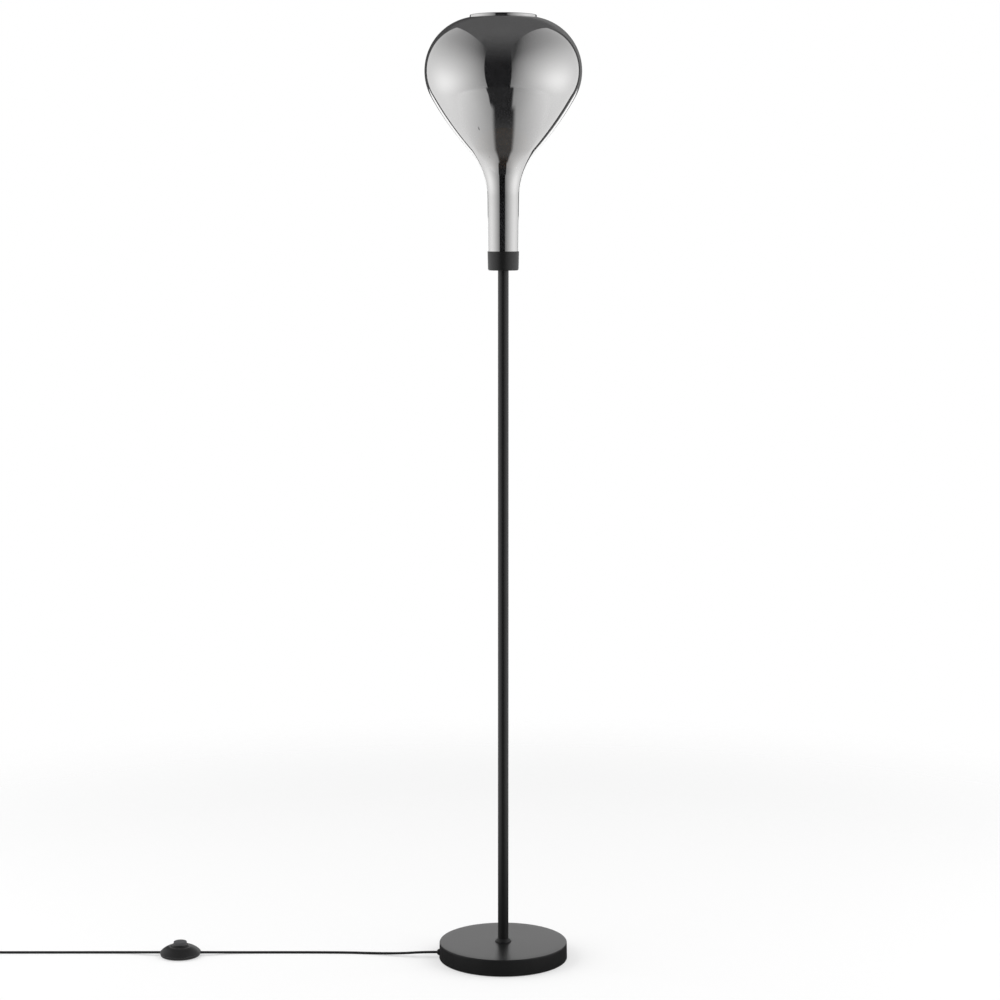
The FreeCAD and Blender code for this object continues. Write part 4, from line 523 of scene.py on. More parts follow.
def finish(name, colour, roughness, spread=0.03, scale=900.0, depth=0.0, drift=0.1, mottle=12.0, **sockets):
    """Principled material: fine texture, a slight drift of colour, plain values on its own sockets."""
    found = bpy.data.materials.get(name)
    if found:
        return found
    material, tree, surface = blank_material(name)
    shader = tree.nodes.new("ShaderNodeBsdfPrincipled")
    tree.links.new(shader.outputs[0], surface)
    for label, value in sockets.items():
        shader.inputs[label.replace("_", " ")].default_value = value
    tint = group_node(tree, tint_variation(), Color=(*colour, 1), Scale=25.0, Amount=drift)
    tree.links.new(tint["Color"], shader.inputs["Base Color"])
    texture = group_node(tree, surface_texture(), Scale=scale, Roughness=roughness, Spread=spread,
                         Mottle=mottle)
    tree.links.new(texture["Roughness"], shader.inputs["Roughness"])
    if depth:
        bump = tree.nodes.new("ShaderNodeBump")
        bump.inputs["Strength"].default_value = 1.0
        bump.inputs["Distance"].default_value = depth
        tree.links.new(texture["Height"], bump.inputs["Height"])
        tree.links.new(bump.outputs[0], shader.inputs["Normal"])
    return material


def felt_finish():
    """Pressed felt: fine noise drives roughness and height, with a soft sheen."""
    return finish("felt", (0.012, 0.012, 0.013), 0.95, spread=0.02, scale=2600.0, depth=0.0004, drift=0.5,
                  Sheen_Weight=0.25, Sheen_Roughness=0.6)


def nickel_plate():
    """Bright nickel of the bulb's cap, the pins and the spring."""
    return finish("nickel", (0.60, 0.58, 0.55), 0.24, Metallic=1.0)


def dress(node, material):
    """Put one material in all of a CAD node's slots."""
    piece = NODES[node]
    if not piece.material_slots:
        piece.data.materials.append(material)
    for slot in piece.material_slots:
        slot.material = material


def place(piece, body, slot, replaced, *materials):
    """Give a new piece its materials and its body, and hide the nodes that it stands for; the slot is not
    used.
    """
    for material in materials:
        piece.data.materials.append(material)
    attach(piece, body)
    if replaced:
        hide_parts(*replaced)
    return piece


def powder_coat():
    """Black satin powder coat of the base, the pole and the cup."""
    metal = bpy.context.scene.lamp_metal
    return finish("powder_coat", metal.paint, metal.gloss, spread=0.03, scale=1500.0, depth=0.000004,
                  drift=0.25, mottle=9.0, IOR=1.6)


def lead_jacket():
    """Satin black jacket of the lead."""
    return finish("lead_jacket", bpy.context.scene.lamp_lead.jacket, 0.38, spread=0.06, scale=1800.0,
                  depth=0.00001, drift=0.3, mottle=30.0)


def moulded_black(name="moulded_black", colour=(0.014, 0.014, 0.0145), roughness=0.42):
    """Black plastic with a fine grain."""
    return finish(name, colour, roughness, spread=0.05, scale=2200.0, depth=0.000012, drift=0.2, mottle=40.0)


# ---------------------------------------------------------------- shade
RIM_STEPS = 5


def shade_wall(shade, inset):
    """Profile of one face of the glass from the rim's foot to the neck's end.

    Tangent arcs make the dome, the belly, the flank and the flare, and a straight line makes the neck.
    """
    belly_turn, flank_turn = shade.belly_turn, shade.flank_turn
    spent = shade.belly_arc * (1 - math.cos(belly_turn)) + shade.flare_arc * (1 - math.cos(flank_turn))
    flank_arc = (shade.widest - shade.neck_top - spent) / (math.cos(belly_turn) - math.cos(flank_turn))
    dome = np.array([shade.widest - shade.dome_arc, shade.widest_height])
    belly = np.array([shade.widest - shade.belly_arc, shade.widest_height])
    flank = belly + (shade.belly_arc - flank_arc) * np.array([math.cos(belly_turn), -math.sin(belly_turn)])
    flare = flank + (flank_arc + shade.flare_arc) * np.array([math.cos(flank_turn), -math.sin(flank_turn)])
    dome_arc = shade.dome_arc - inset
    rim_angle = math.acos((shade.rim_radius - inset - dome[0]) / dome_arc)
    flare_arc = shade.flare_arc + inset
    parts = [arc(dome, dome_arc, rim_angle, 0, 72),
             arc(belly, shade.belly_arc - inset, 0, -belly_turn, 28)[1:],
             arc(flank, flank_arc - inset, -belly_turn, -flank_turn, 40)[1:],
             arc(flare, flare_arc, math.pi - flank_turn, math.pi, 44)[1:]]
    neck_end = parts[-1][-1]
    foot = np.array([shade.neck_foot - inset, shade.neck_low])
    steps = np.linspace(0, 1, 12)[1:, None]
    parts.append(neck_end + (foot - neck_end) * steps)
    return np.concatenate(parts)


def shade_outline(shade):
    """Closed outline of the glass: outer face, rounded foot, inner face, and a fire-polished rim."""
    outer, inner = shade_wall(shade, 0), shade_wall(shade, shade.wall)
    half = shade.wall / 2
    rim_z = shade.rim_top - half
    rim_foot = outer[0]
    steps = np.arange(RIM_STEPS) / RIM_STEPS
    root = np.stack([np.full(RIM_STEPS, shade.rim_radius), rim_z - steps * (rim_z - rim_foot[1])], 1)
    lip = arc((shade.rim_radius - half, rim_z), half, math.pi, 0, 13)
    inner_foot = inner[0]
    inside = np.stack([np.full(RIM_STEPS, shade.rim_radius - shade.wall),
                       inner_foot[1] + steps * (rim_z - inner_foot[1])], 1)
    neck_round = arc((outer[-1][0] - half, outer[-1][1] + half), half, 0, -math.pi, 9)
    outer_part = np.concatenate([root, outer[:-1]])
    inner_part = np.concatenate([inner[::-1][1:], inside[1:]])
    outline = np.concatenate([outer_part, neck_round, inner_part, lip])
    inner_rows = np.zeros(len(outline), int)
    first = len(outer_part) + len(neck_round) - 1
    inner_rows[first:first + len(inner_part)] = 1
    return outline, inner_rows


def mirror_coat(shade):
    """Outer face: a mirror coat that lets a little light through."""
    return finish("mirror_coat", shade.coat, 0.015, spread=0.01, scale=60.0, drift=0.02, mottle=7.0,
                  Metallic=shade.coat_share, Transmission_Weight=1.0, IOR=1.5)


def smoked_glass(shade):
    """Inner face: bare smoked glass."""
    return finish("smoked_glass", shade.smoke, 0.01, spread=0.01, scale=60.0, drift=0.03, mottle=7.0,
                  Transmission_Weight=1.0, IOR=1.5)


def build_shade(context):
    """The drop-shaped glass."""
    shade = context.scene.lamp_shade
    outline, inner_rows = shade_outline(shade)
    piece = turned("shade", outline, segments=256, row_index=inner_rows)
    place(piece, "lamp", "smoked_glass", ["shade_glass"], mirror_coat(shade), smoked_glass(shade))
    piece.visible_shadow = False


# ---------------------------------------------------------------- black metal
COVER_RINGS = (0.03, 0.06, 0.085)


def build_base(context):
    """Pressed cover with a rolled edge, and the collar at the pole's foot."""
    metal = context.scene.lamp_metal
    low, high = span("base_cover")
    radius = radius_of("base_cover")
    inner_top = float(high[2]) - metal.cover_wall
    rings = [(ring, high[2], 0) for ring in (metal.cover_bore, *COVER_RINGS)]
    outline = rounded(rings + [
        (radius - metal.draft, high[2], metal.edge), (radius, low[2], 0.3 * MM),
        (radius - metal.cover_wall, low[2], 0.3 * MM),
        (radius - metal.cover_wall - metal.draft, inner_top, 0), (metal.cover_bore, inner_top, 0)], 10)
    cover = turned("base_cover_piece", outline, segments=256)
    place(cover, "lamp", "black_metal", ["base_cover"], powder_coat())
    foot_low, foot_high = span("pole_foot_collar")
    pole = radius_of("pole_section_1")
    inner = pole + 0.05 * MM
    wide = radius_of("pole_foot_collar")
    outline = rounded([(inner, foot_low[2], 0), (wide, foot_low[2], 0.4 * MM),
                       (wide - 0.4 * MM, foot_low[2] + 1.6 * MM, 1.2 * MM),
                       (pole + 1.25 * MM, foot_high[2] - 0.4 * MM, 0.9 * MM), (inner, foot_high[2], 0)], 8)
    collar = turned("foot_collar_piece", outline, segments=128)
    place(collar, "lamp", "black_metal", ["pole_foot_collar"], powder_coat())


def build_pole(context):
    """Three flush tubes."""
    wall = context.scene.lamp_metal.pole_wall
    for index in (1, 2, 3):
        node = f"pole_section_{index}"
        low, high = span(node)
        radius = radius_of(node)
        outside = np.stack([np.full(9, radius), np.linspace(low[2], high[2], 9)], 1)
        outline = np.concatenate([[[radius - wall, low[2]]], outside, [[radius - wall, high[2]]]])
        piece = turned(f"pole_{index}", outline, segments=96)
        place(piece, "lamp", "black_metal", [node], powder_coat())


def build_cup(context):
    """Pressed cup that holds the neck of the glass."""
    metal = context.scene.lamp_metal
    low, high = span("shade_cup")
    floor = low[2] + metal.cup_floor
    top = radius_of("shade_cup")
    foot = top - metal.cup_taper
    outline = rounded([(metal.cup_bore, low[2], 0), (foot, low[2], metal.cup_edge), (top, high[2], 0.3 * MM),
                       (top - metal.cup_wall, high[2], 0.3 * MM),
                       (foot - metal.cup_wall, floor, metal.cup_edge - metal.cup_wall),
                       (metal.cup_bore, floor, 0)], 9)
    piece = turned("cup", outline, segments=160)
    place(piece, "lamp", "black_metal", ["shade_cup"], powder_coat())


# ---------------------------------------------------------------- bulb and lampholder
def bulb_wall(bulb, centre_z, inset):
    """Profile of the bulb from its crown to its neck: a sphere and a shoulder arc tangent to it."""
    across = bulb.neck + bulb.shoulder
    reach = bulb.radius + bulb.shoulder
    drop = math.sqrt(reach * reach - across * across)
    slope = math.atan2(drop, across)
    globe = arc((0, centre_z), bulb.radius - inset, math.pi / 2, -slope, 48)
    shoulder = arc((across, centre_z - drop), bulb.shoulder + inset, math.pi - slope, math.pi, 24)
    return np.concatenate([globe, shoulder[1:]])


def thread_surface(name, radius, depth, pitch, low, high, inner, segments=72):
    """Rolled thread: r = radius - depth/2 (1 + cos(2 pi z / pitch - a)) f(z), with f = 0 at both ends."""
    rows = 90
    z = np.linspace(low, high, rows)[:, None]
    angle = np.linspace(0, 2 * math.pi, segments, endpoint=False)[None]
    share_up = np.clip((z - low) / pitch, 0, 1) * np.clip((high - z) / pitch, 0, 1)
    wave = 0.5 * (1 + np.cos(2 * math.pi * z / pitch - angle))
    r = radius - depth * wave * share_up
    grid = np.stack([r * np.cos(angle), r * np.sin(angle), z + 0 * angle], -1)
    back = np.stack([(inner + 0 * z) * np.cos(angle), (inner + 0 * z) * np.sin(angle), z + 0 * angle], -1)
    points = np.concatenate([grid, back[::-1]]).reshape(-1, 3)
    return add_mesh(name, points, grid_faces(2 * rows, segments, True, True), smooth_below=60)


def build_bulb(context):
    """Amber glass, rolled screw cap and the coated filaments inside."""
    bulb = context.scene.lamp_bulb
    low, high = span("bulb_glass")
    centre_z = float(high[2]) - bulb.radius
    outer, inner = bulb_wall(bulb, centre_z, 0), bulb_wall(bulb, centre_z, bulb.wall)
    foot = float(low[2])
    outer_foot = np.array([[bulb.foot, foot + bulb.foot_height], [bulb.foot, foot]])
    inner_foot = outer_foot[::-1] - [bulb.wall, 0]
    outline = np.concatenate([outer, outer_foot, inner_foot, inner[::-1]])
    glass = turned("bulb_envelope", outline, segments=160, closed=False)
    amber = finish("bulb_tint", bulb.amber, 0.01, spread=0.005, scale=80.0, drift=0.02,
                   Transmission_Weight=0.88, IOR=1.45)
    place(glass, "bulb", "bulb_amber_glass", ["bulb_glass"], amber)
    cap_low, cap_high = span("bulb_cap")
    radius = radius_of("bulb_cap")
    cap = thread_surface("bulb_screw_cap", radius, bulb.thread_depth, bulb.thread_pitch,
                         float(cap_low[2]) + 1.0 * MM, float(cap_high[2]), radius - bulb.cap_wall)
    place(cap, "bulb", "nickel", ["bulb_cap"], nickel_plate())
    for node in ("bulb_supports", "bulb_contact"):
        dress(node, nickel_plate())
    dress("bulb_stem", finish("stem_glass", (0.93, 0.95, 0.95), 0.02, drift=0.02,
                              Transmission_Weight=1.0, IOR=1.5))
    dress("bulb_filaments", finish("filament_coat", bulb.filament, 0.55, drift=0.2, scale=3000.0,
                                   depth=0.00002))
    dress("bulb_insulator", finish("vitrite", (0.010, 0.010, 0.012), 0.15))


def build_lampholder(context):
    """Two-part black housing, its core, screw shell and fittings."""
    black = moulded_black("holder_black", (0.016, 0.016, 0.016), 0.35)
    for node in ("holder_cap", "holder_skirt"):
        dress(node, black)
    dress("holder_core", finish("core_ceramic", (0.66, 0.64, 0.60), 0.6, drift=0.08, depth=0.00002))
    brass = finish("brass", (0.60, 0.42, 0.18), 0.3, spread=0.1, Metallic=1.0)
    for node in ("holder_screw_shell", "holder_contact", "holder_terminals", "switch_rotor",
                 "switch_terminals"):
        dress(node, brass)
    copper = finish("copper", (0.60, 0.28, 0.16), 0.35, Metallic=1.0)
    for node in ("holder_wires", "switch_wires"):
        dress(node, copper)
    zinc = finish("zinc_plate", (0.46, 0.47, 0.49), 0.36, spread=0.12, scale=400.0, Metallic=1.0)
    for node in ("base_plate", "base_plate_screws", "base_clamp_screws", "base_nut", "base_washer",
                 "base_nipple", "pole_couplers", "pole_foot_insert", "pole_head_insert", "riser_tube",
                 "riser_nuts", "shade_spacer", "switch_clamps", "switch_clamp_screws", "switch_screws"):
        dress(node, zinc)
    dress("base_weight", finish("cast_iron", (0.035, 0.035, 0.037), 0.7, spread=0.1, scale=500.0,
                                depth=0.0001))
    dress("base_felt", felt_finish())
    rubber = finish("rubber", (0.012, 0.012, 0.012), 0.6, spread=0.05, scale=1600.0, depth=0.00001)
    for node in ("shade_gasket", "switch_feet", "base_gland"):
        dress(node, rubber)
    dress("base_clamp", moulded_black())
    dress("switch_spring", nickel_plate())
    dress("inner_lead", lead_jacket())


# ---------------------------------------------------------------- foot switch
def switch_place():
    """Centre of the switch on the floor plan."""
    low, high = span("switch_cover")
    return float(low[0] + high[0]) / 2, float(low[1] + high[1]) / 2


def switch_dome(switch, collar_z):
    """Closed outline of the cover: rim, dome, flare and collar outside, well and dome inside."""
    brim = switch.split + 0.6 * MM
    collar_outer = switch.button_radius + switch.collar_wall
    collar_inner = switch.button_radius + switch.collar_gap
    inner = switch.radius - switch.wall
    flare = (switch.flare_radius, switch.flare_height)
    well = (switch.bore, switch.roof)
    lip_z = collar_z - switch.lip
    return np.concatenate([
        [[switch.radius - 0.2 * MM, switch.split], [switch.radius, switch.split + 0.2 * MM]],
        bulged((switch.radius, brim), flare, switch.dome_bulge, 40),
        bulged(flare, (collar_outer + 0.2 * MM, lip_z), -switch.flare_dip, 24)[1:],
        arc((collar_outer - switch.lip, lip_z), switch.lip, 0.3, math.pi / 2, 5),
        arc((collar_inner + switch.lip, lip_z), switch.lip, math.pi / 2, math.pi, 5),
        [[collar_inner, switch.roof], well],
        bulged((inner, brim), well, switch.dome_bulge, 24)[::-1][1:],
        [[inner, switch.split]]])


def switch_tray(switch, low_z):
    """Outline of the lower half from its middle out and back."""
    top = switch.split - 0.25 * MM
    inner = switch.radius - switch.wall
    return rounded([(0, low_z, 0), (switch.radius - 1.6 * MM, low_z, 1.0 * MM),
                    (switch.radius - 0.15 * MM, top, 0.2 * MM), (inner, top, 0),
                    (inner, switch.tray_floor, 0), (0, switch.tray_floor, 0)], 6)


def switch_cap(switch, foot, top):
    """Outline of the button: crown, rounded edge, side, flange and inner face."""
    radius = switch.button_radius
    edge = switch.crown
    crown_radius = (radius ** 2 + switch.crown ** 2) / (2 * switch.crown)
    reach = math.asin((radius - 0.8 * MM) / crown_radius)
    inner_wall = radius - switch.button_wall
    roof = top - switch.button_roof
    return np.concatenate([
        arc((0, top - crown_radius), crown_radius, math.pi / 2, math.pi / 2 - reach, 16),
        arc((radius - edge, top - switch.crown - edge + 0.12 * MM), edge, math.pi / 2 - 0.12, 0, 8),
        [[radius, foot + switch.flange_height], [radius + switch.flange, foot + switch.flange_height],
         [radius + switch.flange, foot], [inner_wall, foot], [inner_wall, roof], [0, roof]]])


def build_switch(context):
    """Round housing in two halves and a crowned button in a flared collar, left out of reflections."""
    switch = context.scene.lamp_switch
    centre = switch_place()
    black = moulded_black("switch_black", switch.plastic, 0.40)
    collar_z = float(span("switch_cover")[1][2])
    cover = turned("switch_dome", switch_dome(switch, collar_z), centre, segments=192)
    place(cover, "lamp", "black_plastic", ["switch_cover"], black)
    floor_z = span("switch_base")[0][2]
    tray = turned("switch_tray", switch_tray(switch, floor_z), centre, segments=192, closed=False)
    place(tray, "lamp", "black_plastic", ["switch_base"], black)
    low, high = span("switch_button")
    outline = switch_cap(switch, float(low[2]), float(high[2]))
    button = turned("switch_cap", outline, centre, segments=128, closed=False)
    # The button's material is partly its own dark grey and partly a painted highlight: its grey is raised so
    # that the lit top reads lighter.
    place(button, "button", "button_grey", ["switch_button"],
          moulded_black("button_grey", switch.button, 0.20))
    for piece in (cover, tray, button):
        piece.visible_glossy = False


# ---------------------------------------------------------------- lead and plug
GLAND = (-0.1042, 0.0, 0.0086)
SWITCH_IN = (-0.488, 0.010, 0.0050)
SWITCH_OUT = (-0.528, 0.010, 0.0050)
TO_SWITCH = [GLAND, (-0.125, 0.0, 0.0086), (-0.160, 0.006, 0.0046), (-0.202, 0.015, 0.0019),
             (-0.254, 0.0208, 0.0017), (-0.430, 0.0204, 0.0017), (-0.462, 0.010, 0.0050), SWITCH_IN]
TO_COIL = [SWITCH_OUT, (-0.554, 0.010, 0.0050), (-0.586, 0.0207, 0.0017), (-0.762, 0.020, 0.0017),
           (-0.795, 0.020, 0.0017), (-0.815, 0.020, 0.0020), (-0.838, 0.020, 0.00265)]
COIL_CENTRE = (-0.8604, -0.0165)
COIL_LOW = 0.00275
COIL_TURNS = 6.25
COIL_RADIUS = 0.0365
COIL_STEP = 0.004
COIL_MIDDLE = 3.25
COIL_LAYER = 0.006
TURN_POINTS = 16
PLUG_RUN = [(-0.8959, -0.0259, 0.00875), (-0.8959, -0.046, 0.0080), (-0.8959, -0.0699, 0.00685)]
TWIST_START = (-0.795, 0.020)
TWIST_LENGTH = 0.060
PLUG_TWIST_LENGTH = 0.048


def eased(t):
    """3 t^2 - 2 t^3, which runs from 0 to 1 without a kink."""
    return t * t * (3 - 2 * t)


def coil_points():
    """Control points of the coil, t turns from its start.

    r = radius - step (middle - |middle - t|), so the lead winds inwards to the middle turn and out again,
    and it climbs by one layer around the middle turn.
    """
    t = np.linspace(0, COIL_TURNS, int(COIL_TURNS * TURN_POINTS) + 1)
    radius = COIL_RADIUS - COIL_STEP * (COIL_MIDDLE - np.abs(COIL_MIDDLE - t))
    radius = radius / math.cos(math.pi / TURN_POINTS)
    height = COIL_LOW + COIL_LAYER * eased(np.clip((t - COIL_MIDDLE + 0.25) / 0.5, 0, 1))
    turned_by = math.pi / 2 + 2 * math.pi * t
    return np.stack([COIL_CENTRE[0] + radius * np.cos(turned_by),
                     COIL_CENTRE[1] + radius * np.sin(turned_by), height], 1)


def tilt_along(line):
    """Angle of the lead's wide axis: level on the floor, upright in the coil, level again at the plug."""
    steps = np.linalg.norm(np.diff(line, axis=0), axis=1)
    gone = np.concatenate([[0], np.cumsum(steps)])
    off_start = np.abs(line[:, 0] - TWIST_START[0]) + np.abs(line[:, 1] - TWIST_START[1])
    start = gone[np.argmin(off_start)]
    up = np.clip((gone - start) / TWIST_LENGTH, 0, 1)
    down = np.clip((gone[-1] - gone) / PLUG_TWIST_LENGTH, 0, 1)
    return math.pi / 2 * eased(up) * eased(down)


def build_lead(context):
    """Two free lengths of flat lead: base to switch, and switch to plug with the put-away coil."""
    lead = context.scene.lamp_lead
    jacket = lead_jacket()
    first = nurbs_line("route_to_switch", TO_SWITCH)
    near = flat_tube("lead_to_foot", first, np.zeros(len(first)), lead.width, lead.thickness)
    near.visible_glossy = False
    place(near, "lamp", "lead_black", ["lead_to_switch"], jacket)
    route = np.concatenate([np.array(TO_COIL), coil_points(), np.array(PLUG_RUN)])
    second = nurbs_line("route_to_plug", route)
    far = flat_tube("lead_to_wall", second, tilt_along(second), lead.width, lead.thickness)
    far.visible_glossy = False
    place(far, "lamp", "lead_black", ["lead_to_plug", "lead_twist", "lead_coil", "plug_lead"], jacket)


def plug_outline(lead, low, high):
    """Outline of the plug from above: straight front part, shoulders drawn in to the lead."""
    left, right, front, rear = low[0], high[0], low[1], high[1]
    middle = (left + right) / 2
    shoulder = rear - lead.plug_shoulder
    corner, neck = lead.plug_corner, lead.plug_neck
    return rounded([(left, front, corner), (right, front, corner), (right, shoulder, neck),
                    (middle + neck, rear, corner), (middle - neck, rear, corner), (left, shoulder, neck)], 9)


def build_plug(context):
    """Flat moulded plug with rounded rims, and its sleeved pins."""
    lead = context.scene.lamp_lead
    low, high = span("plug_body")
    outline = plug_outline(lead, low, high)
    points, faces = extruded(outline, float(low[2]), float(high[2]), lead.plug_rim, 7)
    body = add_mesh("plug_moulding", points, faces, smooth_below=40, merge=False)
    place(body, "lamp", "black_plastic", ["plug_body"], moulded_black("plug_black", lead.plug, 0.45))
    dress("plug_pins", nickel_plate())
    dress("plug_sleeves", moulded_black())


# ---------------------------------------------------------------- stage
SOFTBOX_SIZE = (2.2, 2.6)
SOFTBOX_PLACE = (2.0, -0.35, 1.7)
SOFTBOX_TILT = 78
CARD_HALF_WIDTH = 1.1
CARD_FOOT = 0.26
CARD_TOP = 1.15
CARD_BEHIND = 2.2
# Each reflected panel: azimuth in degrees, then its front, rear and top ends in its own coordinates.
PANELS = ((-88.4, 1.80, -1.85, 1.71), (79.0, 2.36, -2.15, 2.34))
PANEL_BLUR = 0.012
PANEL_TOP_BLUR = 0.01


def light_panel(x, y, z, azimuth, front, rear, top):
    """Brightness and mask of an upright diffuser seen in a direction, with a hot spot and a dimmer top.

    With f and h the panel's own sideways (towards the front) and upward coordinates, the brightness is
    (0.42 - 0.16 f + 0.61 / (1 + ((f + 0.14) / 0.76)^2 + ((h + 0.28) / 0.52)^2)) (1 - 0.22 ramp(h)) - 0.07 h.
    """
    turn = math.radians(azimuth)
    sign = 1 if azimuth < 0 else -1
    ahead = (x * math.sin(turn) - y * math.cos(turn)).at_least(1e-4)
    f = (x * math.cos(turn) + y * math.sin(turn)) / ahead * sign
    h = z / ahead
    wide, tall = (f + 0.14) / 0.76, (h + 0.28) / 0.52
    spot = 0.61 / (wide * wide + tall * tall + 1)
    glow = (f * -0.16 + 0.42 + spot) * (1 - h.ramp(0.15, 1.1) * 0.22) - h * 0.07
    mask = f.within(rear, front, PANEL_BLUR) * (1 - h.ramp(top - PANEL_TOP_BLUR, top + PANEL_TOP_BLUR))
    return glow.at_least(0.05), mask * ahead.math("GREATER_THAN", ahead, 2e-4)


def studio_world(stage):
    """White for the camera and through clear glass, even light for matt surfaces, a studio for reflections.

    The reflected studio has a diffuser on each side, a dim ceiling, a dark opening towards the viewer and a
    dark edge behind each diffuser.
    """
    world = bpy.data.worlds.new("studio")
    world.use_nodes = True
    tree = world.node_tree
    tree.nodes.clear()
    x, y, z = coordinates(tree, "Generated")
    up = z.at_least(0)
    side_ceiling = (y + abs(x)).ramp(-0.45, 0.2)
    room = (up * up * 0.10 + stage.opening).at_least(side_ceiling * stage.ceiling)
    rear = y / (1 - z * z).at_least(0.001).root()
    edge = rear.ramp(0.87, 0.89) * 0.11 * x.ramp(0.0, 0.02) + stage.edge
    glow = room.mixed(edge, rear.ramp(0.79, 0.81) * (1 - z.ramp(0.40, 0.6)))
    for azimuth, front, back, top in PANELS:
        brightness, mask = light_panel(x, y, z, azimuth, front, back, top)
        glow = glow.mixed(brightness, mask)
    seen, through_glass, mirrored = ray_kinds(tree, "Camera", "Transmission", "Glossy")
    white = seen.at_least(through_glass)
    matt = (1 - white) * stage.sky + white
    shader = tree.nodes.new("ShaderNodeBackground")
    shader.inputs["Color"].default_value = (1, 1, 1, 1)
    tree.links.new(matt.mixed(glow, mirrored).socket, shader.inputs["Strength"])
    tree.links.new(shader.outputs[0], tree.nodes.new("ShaderNodeOutputWorld").inputs["Surface"])
    bpy.context.scene.world = world


def floor_glow(stage, x, y):
    """Brightness of the floor in reflections: 0.188 + 0.38 |x| on both sides of a dark runner.

    The runner is about 0.76 m wide around the lamp and closes to a wedge towards the viewer, where the floor
    also falls off by 30 %.
    """
    level = (abs(x) * 0.38 + 0.188) * (y.ramp(-1.6, -0.5) * 0.3 + 0.7)
    beside = x.ramp(0.30, 0.48) + (1 - x.ramp(-0.44, -0.26))
    right = (x + y * 0.24).ramp(0.07, 0.17)
    left = 1 - (x - y * 0.53).ramp(-0.09, -0.03)
    mask = beside.mixed(left + right, 1 - y.ramp(-0.82, -0.68))
    return level * mask + (y.ramp(-0.75, -0.35) * 0.035 + stage.runner)


def floor_material(stage):
    """Pale floor that keeps the lamp's shadow and fades into the white surroundings towards its edge."""
    material, tree, surface = blank_material("pale_floor")
    matt = tree.nodes.new("ShaderNodeBsdfDiffuse")
    matt.inputs["Color"].default_value = (0.97, 0.97, 0.97, 1)
    white = tree.nodes.new("ShaderNodeEmission")
    reflected = tree.nodes.new("ShaderNodeEmission")
    clear = tree.nodes.new("ShaderNodeBsdfTransparent")
    x, y = coordinates(tree, "Object")[:2]
    tree.links.new(floor_glow(stage, x, y).socket, reflected.inputs["Strength"])
    seen, mirrored = ray_kinds(tree, "Camera", "Glossy")
    away = (x * x + y * y).root() / stage.floor_radius
    fade = away.ramp(0.55, 0.98).mixed(away.ramp(0.80, 0.99), mirrored)
    shader = matt.outputs[0]
    for share_of_next, following in ((seen * stage.lift, white), (mirrored, reflected), (fade, clear)):
        mix = tree.nodes.new("ShaderNodeMixShader")
        tree.links.new(share_of_next.socket, mix.inputs[0])
        tree.links.new(shader, mix.inputs[1])
        tree.links.new(following.outputs[0], mix.inputs[2])
        shader = mix.outputs[0]
    tree.links.new(shader, surface)
    return material


def reflector_card(stage):
    """Upright white card behind the lamp, which only reflections show."""
    points = [(-CARD_HALF_WIDTH, CARD_BEHIND, CARD_FOOT), (CARD_HALF_WIDTH, CARD_BEHIND, CARD_FOOT),
              (CARD_HALF_WIDTH, CARD_BEHIND, CARD_TOP), (-CARD_HALF_WIDTH, CARD_BEHIND, CARD_TOP)]
    card = add_mesh("card", points, [(0, 1, 2, 3)], smooth_below=40, merge=False)
    material, tree, surface = blank_material("white_card")
    white = tree.nodes.new("ShaderNodeEmission")
    white.inputs["Strength"].default_value = stage.card
    tree.links.new(white.outputs[0], surface)
    card.data.materials.append(material)
    card.visible_camera = False
    card.visible_diffuse = False
    card.visible_transmission = False
    card.visible_shadow = False


def build_stage(context):
    """Floor, side lights, surroundings and camera."""
    stage = context.scene.lamp_stage
    scene = context.scene
    outline = np.array([[0.0, 0.0], [0.5, 0.0], [1.0, 0.0], [stage.floor_radius, 0.0]])
    floor = turned("floor", outline, segments=128, closed=False)
    floor.data.materials.append(floor_material(stage))
    for side in (-1, 1):
        data = bpy.data.lights.new(f"softbox_{side}", "AREA")
        data.shape = "RECTANGLE"
        data.size, data.size_y = SOFTBOX_SIZE
        data.energy = stage.softbox
        light = bpy.data.objects.new(data.name, data)
        light.location = (side * SOFTBOX_PLACE[0], SOFTBOX_PLACE[1], SOFTBOX_PLACE[2])
        light.rotation_euler = (0, math.radians(side * SOFTBOX_TILT), 0)
        light.visible_glossy = False
        light.visible_camera = False
        light.visible_transmission = False
        scene.collection.objects.link(light)
    reflector_card(stage)
    studio_world(stage)
    data = bpy.data.cameras.new("viewer")
    data.sensor_width = 36.0
    data.lens = stage.focal
    data.shift_y = -stage.shift
    data.clip_end = 50.0
    camera = bpy.data.objects.new("viewer", data)
    camera.location = (stage.camera_side, -stage.camera_distance, stage.camera_height)
    camera.rotation_euler = (math.radians(90) - stage.pitch, 0, 0)
    scene.collection.objects.link(camera)
    scene.camera = camera
    scene.view_settings.view_transform = "Standard"


# ---------------------------------------------------------------- operators and panel
class LAMP_OT_shade(bpy.types.Operator):
    """Build the drop-shaped glass shade"""
    bl_idname = "lamp.shade"
    bl_label = "Shade"

    def execute(self, context):
        build_shade(context)
        return {"FINISHED"}


class LAMP_OT_base(bpy.types.Operator):
    """Build the base cover and the foot collar"""
    bl_idname = "lamp.base"
    bl_label = "Base"

    def execute(self, context):
        build_base(context)
        return {"FINISHED"}


class LAMP_OT_pole(bpy.types.Operator):
    """Build the three sections of the pole"""
    bl_idname = "lamp.pole"
    bl_label = "Pole"

    def execute(self, context):
        build_pole(context)
        return {"FINISHED"}


class LAMP_OT_cup(bpy.types.Operator):
    """Build the cup that holds the glass"""
    bl_idname = "lamp.cup"
    bl_label = "Cup"

    def execute(self, context):
        build_cup(context)
        return {"FINISHED"}


class LAMP_OT_bulb(bpy.types.Operator):
    """Build the bulb"""
    bl_idname = "lamp.bulb"
    bl_label = "Bulb"

    def execute(self, context):
        build_bulb(context)
        return {"FINISHED"}


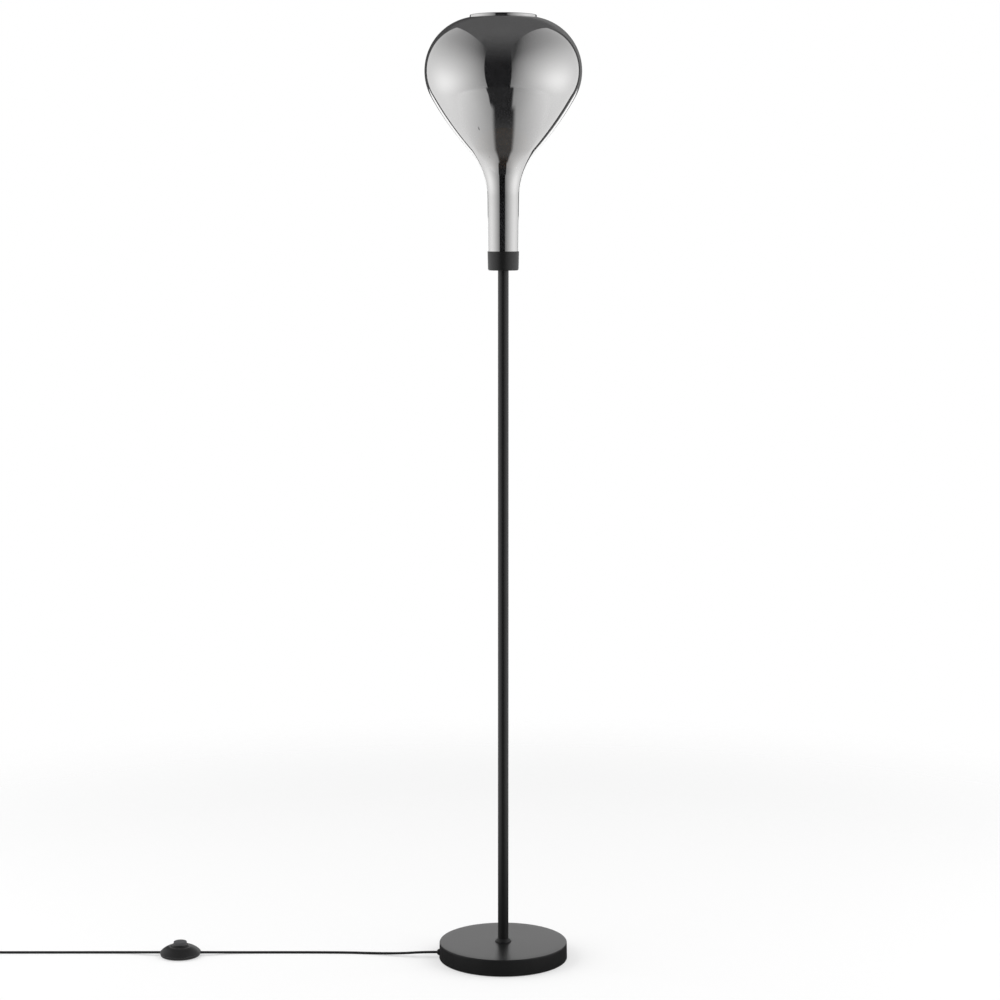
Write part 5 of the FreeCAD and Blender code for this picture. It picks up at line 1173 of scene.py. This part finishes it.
class LAMP_OT_fittings(bpy.types.Operator):
    """Finish the lampholder and the fittings"""
    bl_idname = "lamp.fittings"
    bl_label = "Lampholder and fittings"

    def execute(self, context):
        build_lampholder(context)
        return {"FINISHED"}


class LAMP_OT_switch(bpy.types.Operator):
    """Build the foot switch"""
    bl_idname = "lamp.switch"
    bl_label = "Foot switch"

    def execute(self, context):
        build_switch(context)
        return {"FINISHED"}


class LAMP_OT_plug(bpy.types.Operator):
    """Build the plug"""
    bl_idname = "lamp.plug"
    bl_label = "Plug"

    def execute(self, context):
        build_plug(context)
        return {"FINISHED"}


class LAMP_OT_lead(bpy.types.Operator):
    """Build the lead, with the switch and the plug already in place"""
    bl_idname = "lamp.lead"
    bl_label = "Lead"

    def execute(self, context):
        build_lead(context)
        return {"FINISHED"}


class LAMP_OT_stage(bpy.types.Operator):
    """Build the floor, the lights, the surroundings and the camera"""
    bl_idname = "lamp.stage"
    bl_label = "Stage"

    def execute(self, context):
        build_stage(context)
        return {"FINISHED"}


OPERATORS = (LAMP_OT_stage, LAMP_OT_switch, LAMP_OT_plug, LAMP_OT_lead, LAMP_OT_shade, LAMP_OT_bulb,
             LAMP_OT_fittings, LAMP_OT_cup, LAMP_OT_pole, LAMP_OT_base)
SETTINGS = {"lamp_shade": ShadeSettings, "lamp_metal": MetalSettings, "lamp_bulb": BulbSettings,
            "lamp_switch": SwitchSettings, "lamp_lead": LeadSettings, "lamp_stage": StageSettings}


class LAMP_PT_build(bpy.types.Panel):
    """The lamp's settings and the buttons that build it"""
    bl_idname = "LAMP_PT_build"
    bl_label = "Floor lamp"
    bl_space_type = "VIEW_3D"
    bl_region_type = "UI"
    bl_category = "Lamp"

    def draw(self, context):
        for name in SETTINGS:
            box = self.layout.box()
            box.label(text=name.replace("lamp_", "").capitalize())
            group = getattr(context.scene, name)
            for key in group.__annotations__:
                box.prop(group, key)
        for operator in OPERATORS:
            self.layout.operator(operator.bl_idname)


def register():
    for name, group in SETTINGS.items():
        bpy.utils.register_class(group)
        setattr(bpy.types.Scene, name, bpy.props.PointerProperty(type=group))
    for item in OPERATORS + (LAMP_PT_build,):
        bpy.utils.register_class(item)


def unregister():
    for item in reversed(OPERATORS + (LAMP_PT_build,)):
        bpy.utils.unregister_class(item)
    for name, group in reversed(list(SETTINGS.items())):
        delattr(bpy.types.Scene, name)
        bpy.utils.unregister_class(group)


def main():
    """Build every piece in order."""
    register()
    for operator in OPERATORS:
        family, action = operator.bl_idname.split(".")
        getattr(getattr(bpy.ops, family), action)()


if __name__ == "__main__":
    main()
